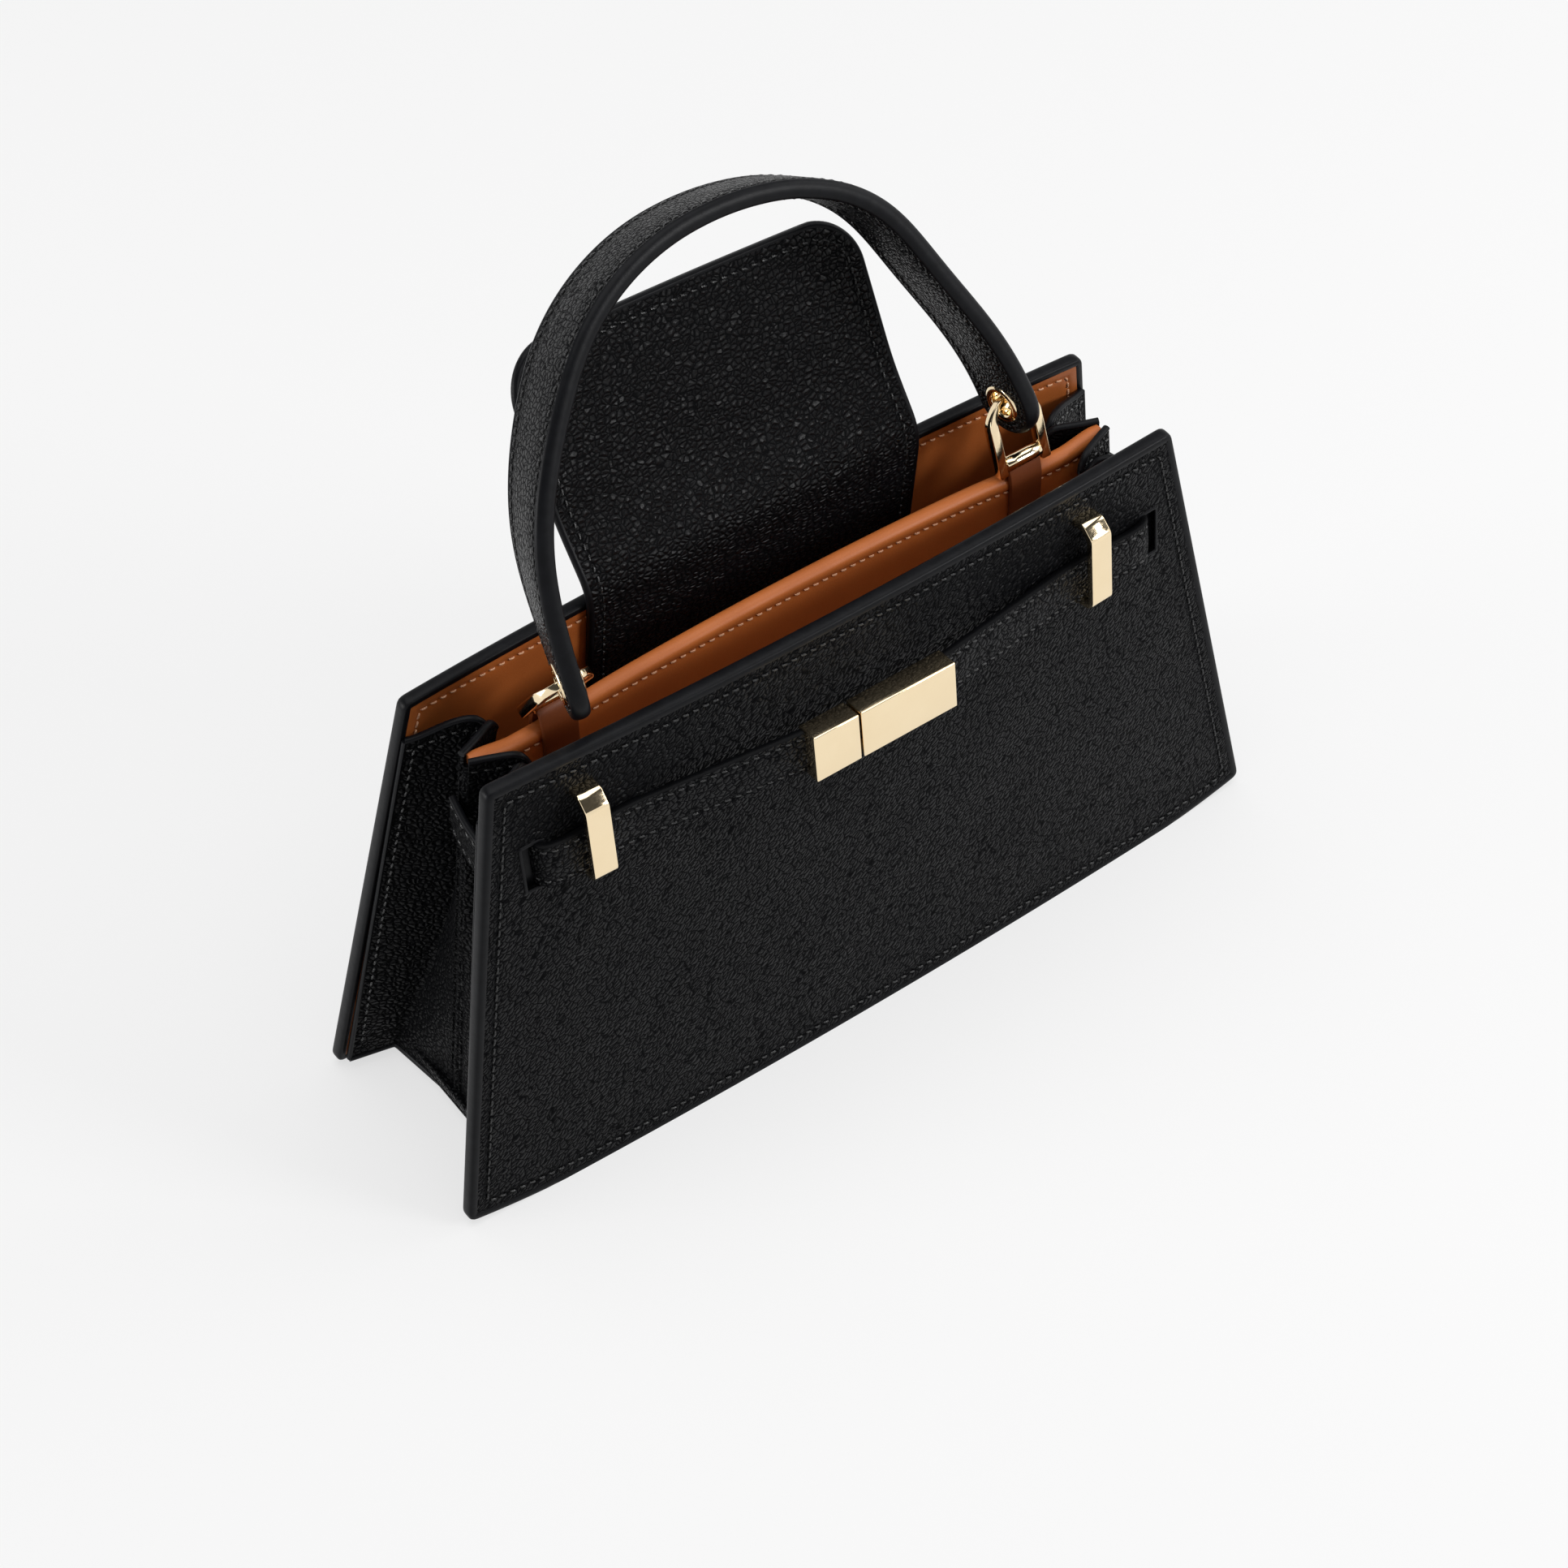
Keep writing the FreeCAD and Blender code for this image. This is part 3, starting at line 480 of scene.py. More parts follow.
def leather(name, cell, stretch, turn, flat=(1, 1, 1), shine=0.12, ridge=BLACK_RIDGE, crease_shade_colour=BLACK_CREASE_SHADE):
    """Pebbled leather: soft pebbles pressed together, fine pores and a slow change of tone, with painted
    shade in the creases: they are darker and reflect less.
    """
    n = Nodes(name)
    steps = (cell * stretch, cell, cell)
    grid = n.place(turn, [keep / (step * MM) for keep, step in zip(flat, steps)])
    drift = n.node("ShaderNodeTexNoise", Vector=grid, Scale=0.5, Detail=2.0).outputs["Color"]
    shaken = n.node("ShaderNodeVectorMath", {"operation": "MULTIPLY_ADD"}, drift, LEATHER_DRIFT, grid)
    cells = n.node("ShaderNodeTexVoronoi", {"feature": "DISTANCE_TO_EDGE"}, Vector=shaken.outputs[0],
                   Scale=1.0).outputs["Distance"]
    pebble = n.remap(cells, 0.0, PEBBLE_EDGE, 0.0, 1.0)
    crease_and_shade = n.remap(cells, 0.0, CREASE_EDGE, 0.0, 1.0)
    pores = n.noise(grid, 2.4, 3.0, 0.6)
    slow = n.noise(grid, 0.06, 3.0)
    # Colour: painted shade darkens the creases, and a slow random change of tone runs over the whole
    tone = n.math("MULTIPLY", crease_and_shade, n.remap(slow, 0.3, 0.7, 0.7, 1.0))
    smooth, coarse = LEATHER_ROUGH
    worn = n.math("ADD", n.remap(crease_and_shade, 0.0, 1.0, coarse, smooth), n.remap(slow, 0.3, 0.7, -0.04, 0.04))
    # Painted shade also dims the specular level in the creases to a tenth
    n.surface(n.blend(tone, crease_shade_colour, ridge), worn, n.remap(crease_and_shade, 0.0, 1.0, shine * 0.1, shine))
    height = n.math("ADD", n.math("MULTIPLY", pebble, 0.8), n.math("MULTIPLY", pores, 0.3))
    n.bump(height, 1.0, LEATHER_DEPTH * MM)
    return n.material


def smooth_leather(name, light, dark):
    """Smooth lining leather with fine pores and faint clouding."""
    n = Nodes(name)
    grid = n.place()
    pores = n.noise(grid, 2.6, 4.0, 0.65)
    clouds = n.noise(grid, 0.05, 3.0)
    tone = n.math("ADD", n.math("MULTIPLY", pores, 0.4), n.math("MULTIPLY", clouds, 0.6))
    smooth, coarse = LINING_ROUGH
    n.surface(n.blend(n.remap(tone, 0.3, 0.7, 0, 1), dark, light), n.remap(tone, 0.3, 0.7, coarse, smooth),
              LINING_SHINE)
    n.bump(pores, 0.5, 0.06 * MM)
    return n.material


def edge_paint(name, light, dark, shine):
    """Thick edge paint: nearly smooth, with the slow waves of a hand-drawn coat."""
    n = Nodes(name)
    grid = n.place()
    wave = n.noise(grid, 0.35, 2.0)
    dust = n.noise(grid, 5.0, 2.0)
    n.surface(n.blend(n.remap(wave, 0.3, 0.7, 0, 1), dark, light), n.remap(dust, 0.3, 0.7, 0.34, 0.46), shine)
    n.bump(wave, 0.6, 0.12 * MM)
    return n.material


def thread(name, light, dark, rough, shine):
    """Twisted thread: fine slanted bands of light and dark."""
    n = Nodes(name)
    grid = n.place((35, 40, 30))
    twist = n.node("ShaderNodeTexWave", {"wave_type": "BANDS"}, Vector=grid, Scale=0.9, Distortion=1.0)
    fuzz = n.noise(grid, 4.0, 2.0)
    n.surface(n.blend(twist.outputs["Fac"], dark, light), n.remap(fuzz, 0.3, 0.7, rough - 0.08, rough + 0.08),
              shine)
    n.bump(n.math("ADD", twist.outputs["Fac"], fuzz), 0.6, 0.08 * MM)
    return n.material


def metal(name, light, dark, rough):
    """Polished plating with faint hairlines and slow waves."""
    n = Nodes(name)
    hair = n.noise(n.place((0, 20, 0), (0.4 / MM, 4.0 / MM, 4.0 / MM)), 1.0, 3.0)
    wave = n.noise(n.place(), 0.12, 2.0)
    n.surface(n.blend(wave, dark, light), n.remap(hair, 0.25, 0.75, rough * 0.7, rough * 1.4))
    n.set(n.shader, "Metallic", 1.0)
    n.bump(wave, 0.3, 0.05 * MM)
    return n.material


PANEL_LEATHER = leather("panel_leather", 0.95, 2.1, (0, 37, 0), THIN, 0.11)
BACK_LEATHER = leather("back_leather", 0.95, 2.1, (0, -37, 0), THIN, 0.11)
FLAP_LEATHER = leather("flap_leather", 1.35, 1.3, (0, 10, 0), shine=0.2)
HANDLE_LEATHER = leather("handle_leather", 1.1, 1.3, (0, 60, 0), shine=0.3)
BELT_LEATHER = leather("belt_leather", 1.15, 1.5, (0, 30, 0))
# Painted shade: the gussets' leather is a darker, duller copy of the black leather, for the shade on the
# bag's sides; the base, the gusset seams and the side straps use it too
SHADED_GUSSET_LEATHER = leather("shaded_gusset_leather", 1.4, 1.2, (20, 0, 30), shine=0.05,
                         ridge=(0.0046, 0.0047, 0.0054), crease_shade_colour=(0.0028, 0.0029, 0.0033))
EDGE = edge_paint("edge_paint", (0.0058, 0.0061, 0.0076), (0.0038, 0.0040, 0.0051), 0.12)
# Painted shade: the belt's edges take a darker, duller edge paint that stands for the shadow line along the
# belt
BELT_EDGE_SHADE = edge_paint("belt_edge_shade", (0.0032, 0.0033, 0.0040), (0.0022, 0.0023, 0.0028), 0.07)
BLACK_THREAD = thread("black_thread", (0.010, 0.010, 0.011), (0.005, 0.005, 0.006), 0.22, 0.45)
TAN = smooth_leather("tan_lining", (0.53, 0.152, 0.033), (0.44, 0.118, 0.024))
# Painted shade: the handle tabs are the lining's tan painted much darker, for the shade they hang in against
# the divider
SHADED_TAB_TAN = smooth_leather("shaded_tab_leather", (0.20, 0.052, 0.013), (0.15, 0.037, 0.009))
PEACH_THREAD = thread("tan_thread", (0.86, 0.52, 0.33), (0.66, 0.34, 0.18), 0.6, 0.3)
GOLD = metal("gold_plating", (0.94, 0.78, 0.53), (0.89, 0.72, 0.47), 0.10)
STEEL = metal("magnet_steel", (0.60, 0.60, 0.60), (0.50, 0.50, 0.51), 0.25)


# Panels


# Grid stations from a border inward, close together over the edge and the stitch groove
EDGE_STEPS = np.array([0, 0.5, 1.1, 1.7, 2.2, 2.6, 2.9, 3.2, 3.6, 4.2, 5.2, 7.0, 10.0, 14.0])


def spread(count):
    """Grid stations as a + b * length: close together along both borders."""
    t = np.linspace(0, 1, count)[1:-1]
    last = EDGE_STEPS[-1]
    a = np.concatenate([EDGE_STEPS, last * (1 - 2 * t), -EDGE_STEPS[::-1]])
    b = np.concatenate([np.zeros(len(EDGE_STEPS)), t, np.ones(len(EDGE_STEPS))])
    return a, b


def panel_grid(inset, across, upward):
    """X, Z and the distance from the outline over a panel's face."""
    ax, bx = spread(across)
    az, bz = spread(upward)
    z = (az + bz * (PANEL_H - 2 * inset))[:, None] + inset + np.zeros(len(ax))[None]
    for _ in range(3):
        span = 2 * (half_width(z) - inset)
        x = ax[None] + bx[None] * span - span / 2
        tall = panel_top(x) - panel_bottom(x) - 2 * inset
        z = panel_bottom(x) + inset + az[:, None] + bz[:, None] * tall
    to_side = (half_width(z) - np.abs(x)) * SIDE_COS
    return x, z, np.minimum(to_side, np.minimum(z - panel_bottom(x), panel_top(x) - z))


def on_panel(side, x, z, depth):
    return np.stack([x, side * (face_y(x, z) - depth), z], -1)


def panel_normal(side, x, z):
    dx = (face_y(x + 0.5, z) - face_y(x - 0.5, z))
    dz = (face_y(x, z + 0.5) - face_y(x, z - 0.5))
    return unit(np.stack([-dx, np.full_like(dx, side), -dz], -1))


def panel_outline(inset, step=0.7, corner=0.85):
    """The panel's outline, drawn in by an inset, with rounded corners: x and z."""
    slant = inset * SIDE_STRETCH
    low_x = half_width(LOW_Z + inset) - slant
    high_x = half_width(HIGH_Z - inset) - slant
    xs = np.linspace(-low_x, low_x, 90)
    xt = np.linspace(high_x, -high_x, 80)
    low = np.stack([xs, panel_bottom(xs) + inset], 1)
    high = np.stack([xt, panel_top(xt) - inset], 1)
    return relaxed(np.concatenate([low, high]), step, corner, closed=True)


def panel_edge(side):
    """Rings of a panel's painted edge, nearly flat with soft shoulders."""
    loop = panel_outline(0.0)
    turn = np.radians(np.linspace(-90, 90, 13))
    middle = PANEL_T / 2
    half = middle + EDGE_PROUD
    out = (EDGE_SHOULDER + EDGE_REACH) * np.cos(turn) ** 0.38 - EDGE_SHOULDER
    bulk = half * np.sign(turn) * np.abs(np.sin(turn)) ** 0.8
    depth = np.concatenate([middle + bulk, [middle + half * 0.7, middle - half * 0.7]])
    x, z = grown(loop, side_normals(loop, closed=True), np.concatenate([out, [EDGE_ROOT, EDGE_ROOT]]))
    return on_panel(side, x, np.maximum(z, 0.02), depth[None] + np.zeros_like(x))


def stitch_groove(edge, inset=STITCH_INSET, deep=0.34, wide=0.6):
    return deep * np.exp(-((edge - inset) / wide) ** 2)


def border(edge, width):
    """Falls from 1 at a border to 0 at a width from it."""
    return np.clip(1 - edge / width, 0, 1) ** 2


def panel(side, name, leather_mat):
    """One panel: its leather, lining and painted edge, and a row of stitching on each face."""
    x, z, edge = panel_grid(SKIN_INSET, 60, 34)
    wave = 0.12 * np.sin(x / 23.0 + 1.3 * side) * np.cos(z / 19.0) + 0.08 * np.sin(x / 9.0 + z / 13.0)
    calm = smoothstep((edge - 6) / 20)
    depth = 0.4 * border(edge, 2.4) + stitch_groove(edge) - (0.22 + wave) * calm
    skin = Shells()
    skin.slab(on_panel(side, x, z, depth), on_panel(side, x, z, LEATHER_T))
    outer = skin.make(f"{name}_leather", [leather_mat])

    row_x, row_z = panel_outline(STITCH_INSET).T
    normals = panel_normal(side, row_x, row_z)
    lining = Shells()
    inside = PANEL_T - 0.3 * border(edge, 2.4) - stitch_groove(edge, deep=0.28)
    lining.slab(on_panel(side, x, z, inside), on_panel(side, x, z, LINING_DEPTH))
    lining.stitches(on_panel(side, row_x, row_z, PANEL_T - 0.1), -normals, 1, closed=True)
    inner = lining.make(f"{name}_lining_skin", [TAN, PEACH_THREAD])

    trim, seam = Shells(), Shells()
    trim.sweep(panel_edge(side), closed=True)
    seam.stitches(on_panel(side, row_x, row_z, 0.12), normals, 0, closed=True)
    for shells, kind, material in ((trim, "edge", EDGE), (seam, "stitching", BLACK_THREAD)):
        place(shells.make(f"{name}_{kind}", [material]), "bag", "black_leather")
    place(outer, "bag", "black_leather", f"{name}_panel", f"{name}_board")
    place(inner, "bag", "tan_leather", f"{name}_lining")
    return outer


def front_frame(x, z):
    """On the front face: the point itself, along the face, into the bag and up the slope."""
    along = unit([1, face_y(x - 0.5, z) - face_y(x + 0.5, z), 0])
    upward = unit([0, face_y(x, z - 0.5) - face_y(x, z + 0.5), 1])
    into = unit(np.cross(upward, along))
    return np.array([x, -face_y(x, z), z]), along, into, upward


def slots_and_rims(front):
    """The belt's slots in the front leather, each with a painted rim and a black plate behind it, painted
    shade inside the slot.
    """
    trim = Shells()
    half_w, half_h = (SLOT_W + SLOT_OPEN) / 2, SLOT_H / 2
    corners = np.array([[-half_w, -half_h], [half_w, -half_h], [half_w, half_h], [-half_w, half_h]])
    loop = relaxed(corners, 0.35, 0.55, closed=True)
    turn = circle(8)
    rim_x, rim_z = grown(loop, side_normals(loop, closed=True), SLOT_RIM_W * np.cos(turn))
    rim_y = SLOT_RIM_SINK - SLOT_RIM_T * np.sin(turn)[None] + 0 * rim_x
    for side in (-1, 1):
        origin, *axes = front_frame(side * KEEPER_X, BELT_Z)
        spot = (origin + axes[0] * side * (SLOT_X - KEEPER_X - SLOT_W / 2 + SLOT_OPEN / 2), *axes)
        cutter = Shells()
        cutter.box((-half_w, -3, -half_h), (half_w, 3, half_h), 1.2, 4, spot)
        carve(front, cutter.make(f"slot_cutter_{side}", [EDGE]))
        # A black plate behind the slot: painted shade inside it
        trim.box(*SLOT_SHADE_FLOOR, 0.15, 2, spot)
        trim.sweep(in_frame(np.stack([rim_x, rim_y, rim_z], -1), spot), closed=True)
    place(trim.make("belt_slot_rims_and_shade", [EDGE]), "bag", "black_leather")


# Base, divider and gussets


def base():
    """The underside with its two seams, the closed ends and the lining inside."""
    x = np.linspace(-BASE_HALF_L, BASE_HALF_L, 70)
    t = np.linspace(-1, 1, 26)
    reach = face_y(x, BASE_TOP) - PANEL_T - BASE_GAP
    gx, gy = np.meshgrid(x, t, indexing="ij")
    y = gy * reach[:, None]
    rim = np.minimum((1 - np.abs(gy)) * reach[:, None], BASE_HALF_L - np.abs(gx))
    low = BASE_LOW + 0.6 * border(rim, 2) + stitch_groove(rim, 5.0)
    skin = Shells()
    skin.slab(np.stack([gx, y, low], -1), np.stack([gx, y, BASE_LOW + 1.5 + 0 * gx], -1))
    seam_x = np.linspace(-BASE_SEAM_HALF_L, BASE_SEAM_HALF_L, 135)
    seam_y = face_y(seam_x, BASE_TOP) - PANEL_T - BASE_SEAM_IN
    for sign in (-1, 1):
        path = np.stack([seam_x, sign * seam_y, np.full_like(seam_x, BASE_LOW + 0.1)], 1)
        skin.stitches(path, np.tile([0.0, 0, -1], (len(path), 1)), 1)
    wide = face_y(BASE_HALF_L, BASE_TOP) - PANEL_T - BASE_GAP
    for sx in (-1, 1):
        ends = sorted((sx * (LINING_HALF_L - 1), sx * BASE_HALF_L))
        skin.box((ends[0], -wide, BASE_LOW + 1.2), (ends[1], wide, BASE_TOP + 0.4), 0.8, 3)
    piece = skin.make("base_leather", [SHADED_GUSSET_LEATHER, BLACK_THREAD])
    place(piece, "bag", "black_leather", "base_panel", "base_board")
    inside = Shells()
    gx = gx * LINING_HALF_L / BASE_HALF_L
    inside.slab(np.stack([gx, y, BASE_TOP + 0.5 * border(rim, 4)], -1),
                np.stack([gx, y, BASE_TOP - 1.0 + 0 * gx], -1))
    place(inside.make("base_lining_skin", [TAN]), "bag", "tan_leather", "base_lining")


def divider_top(x):
    """The divider's arched top, with a dip and a raised end at each side."""
    rise = DIVIDER_MID_H - DIVIDER_END_H
    radius = (DIVIDER_TOP_HALF ** 2 + rise ** 2) / (2 * rise)
    arch = DIVIDER_MID_H - radius + np.sqrt(radius ** 2 - x ** 2)
    out = np.abs(x)
    dip = DIVIDER_DIP * np.exp(-((out - DIP_AT) / DIP_REACH) ** 2)
    return arch - dip + DIVIDER_LIFT * smoothstep((out - LIFT_AT) / LIFT_RUN)


def divider():
    """The divider: flat faces, a stitched groove under the top and a rolled edge."""
    body = Shells()
    half, roll = DIVIDER_HALF_T, DIVIDER_ROLL
    levels = np.concatenate([np.linspace(0, 0.93, 10), [0.95]])
    groove = ((6.0, half), (4.6, half - 0.12), (DIVIDER_SEAM, half - 0.28), (3.6, half - 0.12), (3.0, roll))
    rings = []
    for f in np.linspace(-1, 1, 101):
        x = f * DIVIDER_TOP_HALF
        top = divider_top(x)
        heights = BASE_TOP + levels * (top - 8 - BASE_TOP) / 0.95
        ring = [(f * divider_end(z), half, z) for z in heights]
        ring += [(x, out, top - drop) for drop, out in groove]
        for turn in np.radians(np.linspace(15, 90, 6)):
            ring.append((x, roll * math.cos(turn), top - 2.0 + 2.0 * math.sin(turn)))
        rings.append(ring + [(px, -py, pz) for px, py, pz in ring[-2::-1]])
    body.sweep(np.array(rings))
    xs = np.linspace(-DIVIDER_TOP_HALF + 2, DIVIDER_TOP_HALF - 2, 160)
    for sign in (-1, 1):
        path = np.stack([xs, np.full_like(xs, sign * (half - 0.18)), divider_top(xs) - DIVIDER_SEAM], 1)
        body.stitches(path, np.tile([0.0, sign, 0], (len(xs), 1)), 1)
    place(body.make("divider_skin", [TAN, PEACH_THREAD]), "bag", "tan_leather", "divider_front",
          "divider_board", "divider_back")


def bead(points, up, out, radius, tall):
    """Rings of a soft bead along an edge."""
    turn = circle(10)
    return (points[:, None] + out[:, None] * (radius * np.cos(turn))[None, :, None]
            + up[:, None] * (tall * np.sin(turn))[None, :, None])


def gusset_plan(z):
    """The middle line of one leaf at a height, in the +X +Y quarter: panel, fold, divider end."""
    t = (z - BASE_TOP) / (GUSSET_TOP - BASE_TOP)
    edge_x = half_width(z) - 0.6
    edge_y = face_y(edge_x, z) - PANEL_T - 0.15 - GUSSET_T / 2
    fold = (FOLD_LOW[0] + (FOLD_HIGH[0] - FOLD_LOW[0]) * t,
            FOLD_HIGH[1] + (FOLD_LOW[1] - FOLD_HIGH[1]) * (1 - t) ** 2)
    first = np.linspace((edge_x, edge_y), fold, 26)
    second = np.linspace(fold, (divider_end(z) + 0.9, 1.7), 20)[1:]
    soft = relaxed(np.concatenate([first, second]), 0.35, 0.8 + 0.5 * t)
    return np.stack(at_run(np.linspace(0, 1, LEAF_COLUMNS), np.linspace(0, 1, len(soft)), soft), 1)


def gusset(sx, sy, name):
    """One leaf of a gusset, with a bound edge on three sides and two rows of stitching."""
    a = np.linspace(0, 1, LEAF_COLUMNS)
    notch = EAR_NOTCH * np.exp(-((a - FOLD_AT) / NOTCH_REACH) ** 2)
    top = GUSSET_TOP + EAR_LOW + EAR_RISE * smoothstep(a / EAR_RUN) - notch
    grid = []
    for h in np.linspace(0, 1, LEAF_ROWS):
        plan = gusset_plan(BASE_TOP + h * (GUSSET_TOP - BASE_TOP))
        grid.append(np.stack([plan[:, 0], plan[:, 1], GUSSET_FOOT + h * (top - GUSSET_FOOT)], 1))
    grid = np.array(grid)
    along = unit(np.gradient(grid, axis=1))
    rise = unit(np.gradient(grid, axis=0))
    out = unit(np.cross(along, rise))
    out *= np.where(out[:, :1, 1:2] > 0, -1.0, 1.0)
    ripple = 0.25 * np.sin(a * 9.0)[None] * np.sin(np.linspace(0, 5, LEAF_ROWS))[:, None]
    grid = grid + out * ripple[..., None] * np.linspace(0.2, 1, LEAF_ROWS)[:, None, None]
    flip = np.array([sx, sy, 1.0])
    skin = Shells()
    skin.slab((grid + out * GUSSET_T / 2) * flip, (grid - out * GUSSET_T / 2) * flip)
    skin.sweep(bead(grid[-1], rise[-1], out[-1], 0.95, 0.8) * flip, 1)
    skin.sweep(bead(grid[0], rise[0], out[0], 1.1, 1.1) * flip, 1)
    skin.sweep(bead(grid[:, 0], -along[:, 0], out[:, 0], 0.9, 0.7) * flip, 1)
    for row, normal in ((grid[-2], out[-2]), (grid[2:-1, 3], out[2:-1, 3])):
        skin.stitches((row + normal * (GUSSET_T / 2 - 0.1)) * flip, normal * flip, 2)
    place(skin.make(f"{name}_skin", [SHADED_GUSSET_LEATHER, EDGE, BLACK_THREAD]), "bag", "black_leather", name)


SEAM_HALF = np.array([(-4.0, 2.3), (-1.0, 2.7), (0.9, 2.6), (1.6, 2.1), (1.75, 1.5), (1.25, 1.0), (1.75, 0.5),
                      (1.8, 0.0)])


def gusset_seam(sx, name):
    """Black binding over the divider's end, where the two leaves of a gusset are sewn on."""
    section = np.concatenate([SEAM_HALF, (SEAM_HALF * -MIRROR)[-2::-1]])
    rings = []
    for z, size in [(z, 1.0) for z in np.linspace(5.0, 120.6, 40)] + [(121.2, 0.8)]:
        x, y = (section * size).T
        rings.append(np.stack([sx * (divider_end(z) + x), y, np.full(len(section), z)], 1))
    seam = Shells()
    seam.sweep(np.array(rings))
    place(seam.make(name, [SHADED_GUSSET_LEATHER]), "bag", "black_leather")


# A strap's section: outer face with its stitch grooves, painted edge, back, and the other edge
STRAP_SEAM = 4.65
STRAP_FACE = [(-6.15, 1.1), (-5.4, 1.12), (-4.95, 0.95), (-STRAP_SEAM, 0.82), (-4.35, 0.95), (-3.7, 1.15),
              (-2.0, 1.22), (0.0, 1.25), (2.0, 1.22), (3.7, 1.15), (4.35, 0.95), (STRAP_SEAM, 0.82),
              (4.95, 0.95), (5.4, 1.12), (6.15, 1.1)]
STRAP_EDGE = [(6.42, 0.8), (6.55, 0.4), (6.6, 0.0), (6.55, -0.4), (6.42, -0.8)]
STRAP_BACK = [(6.15, -1.1), (3.0, -1.12), (0.0, -1.12), (-3.0, -1.12), (-6.15, -1.1)]
STRAP_RING = np.array(STRAP_FACE + STRAP_EDGE + STRAP_BACK + [(-w, -t) for w, t in STRAP_EDGE])
STRAP_SLOTS = [0] * 14 + [1] * 6 + [0] * 4 + [1] * 6


def strap(shells, path, out, width, scale=1.0):
    """A flat strap along a path: out is its outer face's direction, width the way across it."""
    w, t = STRAP_RING[:, 0], STRAP_RING[:, 1] * scale
    rings = path[:, None] + width[:, None] * w[None, :, None] + out[:, None] * t[None, :, None]
    shells.sweep(rings, STRAP_SLOTS)
    for across in (-STRAP_SEAM, STRAP_SEAM):
        shells.stitches(path + width * across + out * (0.86 * scale), out, 2, radius=0.27)


def side_strap(sx, name):
    """The belt's end outside a gusset, from the front panel to the divider's end."""
    z = BELT_Z
    start_x = half_width(z) - 1.0 - 2.7
    end_x = divider_end(z) + GUSSET_T + 1.2
    start_y = PANEL_T + GUSSET_T + 0.3 - face_y(start_x, z)
    raw = np.array([(start_x, start_y), ((start_x + end_x) / 2 + 0.7, (start_y + 2) / 2), (end_x, 2.0)])
    plan = relaxed(raw, 0.6, 3.0)
    path = np.stack([plan[:, 0] * sx, plan[:, 1], np.full(len(plan), z)], 1)
    width = np.tile([0.0, 0.0, 1.0], (len(path), 1))
    out = unit(np.cross(directions(path), width))
    out *= np.where(out[:, :1] * sx > 0, 1.0, -1.0)
    skin = Shells()
    strap(skin, path, out, width, scale=0.8)
    place(skin.make(f"{name}_skin", [SHADED_GUSSET_LEATHER, EDGE, BLACK_THREAD]), "bag", "black_leather", name)


# Belt, keepers and clasp


BEND = np.array([66.016, -26.373, 105.973])
LEAD_X = np.array([0.9907193, 0.1351113, -0.014842])
LEAD_Z = np.array([0.0, 0.1091934, 0.9940205])


def lead_frame(side):
    """At the bend of a belt lead: the point, along the lead toward +X, into the bag and up."""
    flip = np.array([side, 1.0, 1.0])
    ex = LEAD_X * np.array([1.0, side, side])
    return BEND * flip, ex, np.cross(LEAD_Z, ex), LEAD_Z


def belt(side, name):
    """A belt strap from its slot, under the keeper and into its clasp block."""
    origin, ex, into, up = lead_frame(side)
    in_slot = SLOT_X - SLOT_W / 2
    tail_line = ((in_slot, -2.0), (in_slot, -0.2), (in_slot - 0.9, 1.6)) + BELT_TAIL
    tail = [(side * x, -face_y(x, BELT_Z) - out, BELT_Z + 0.1) for x, out in tail_line]
    lead_end = CLASP_START[side] + LEAD_IN_CLASP
    lead = [origin - ex * side * d + into * BELT_T / 2 for d in np.linspace(1.0, lead_end, 30)]
    path = relaxed(np.vstack([tail, lead]), 0.7, 1.3)
    width = np.tile(up, (len(path), 1))
    out = unit(np.cross(directions(path), width))
    out *= np.sign(np.dot(out[-1], -into))
    skin = Shells()
    strap(skin, path, out, width)
    # The belt's edges get the darker paint that stands for its shadow line
    return skin.make(name, [BELT_LEATHER, BELT_EDGE_SHADE, BLACK_THREAD])


def keeper(side, name):
    """A flat bar bent into a staple over the belt."""
    spot = front_frame(side * KEEPER_X + KEEPER_SHIFT[side], KEEPER_Z + KEEPER_LIFT[side])
    line = relaxed(KEEPER_LINE, 0.25, 0.3)
    section = rounded_section(KEEPER_HALF_W, KEEPER_HALF_T, KEEPER_CORNER)
    rings = []
    for point, normal in zip(line, -side_normals(line)):
        out, up = (point + normal * section[:, 1:2]).T
        rings.append(np.stack([section[:, 0], -out, up], 1))
    bar = Shells()
    bar.sweep(in_frame(np.array(rings), spot))
    place(bar.make(f"{name}_bar", [GOLD], sharp=KEEPER_SHARP), "bag", "gold_metal", name)


def clasp_frame(side):
    """A clasp block's own axes: it starts on its belt lead and lies along the bag."""
    origin, ex, into, up = lead_frame(side)
    flat = np.array([1.0, 0.0, 0.0])
    return origin + (flat - ex) * side * CLASP_START[side], flat, np.cross(up, flat), up


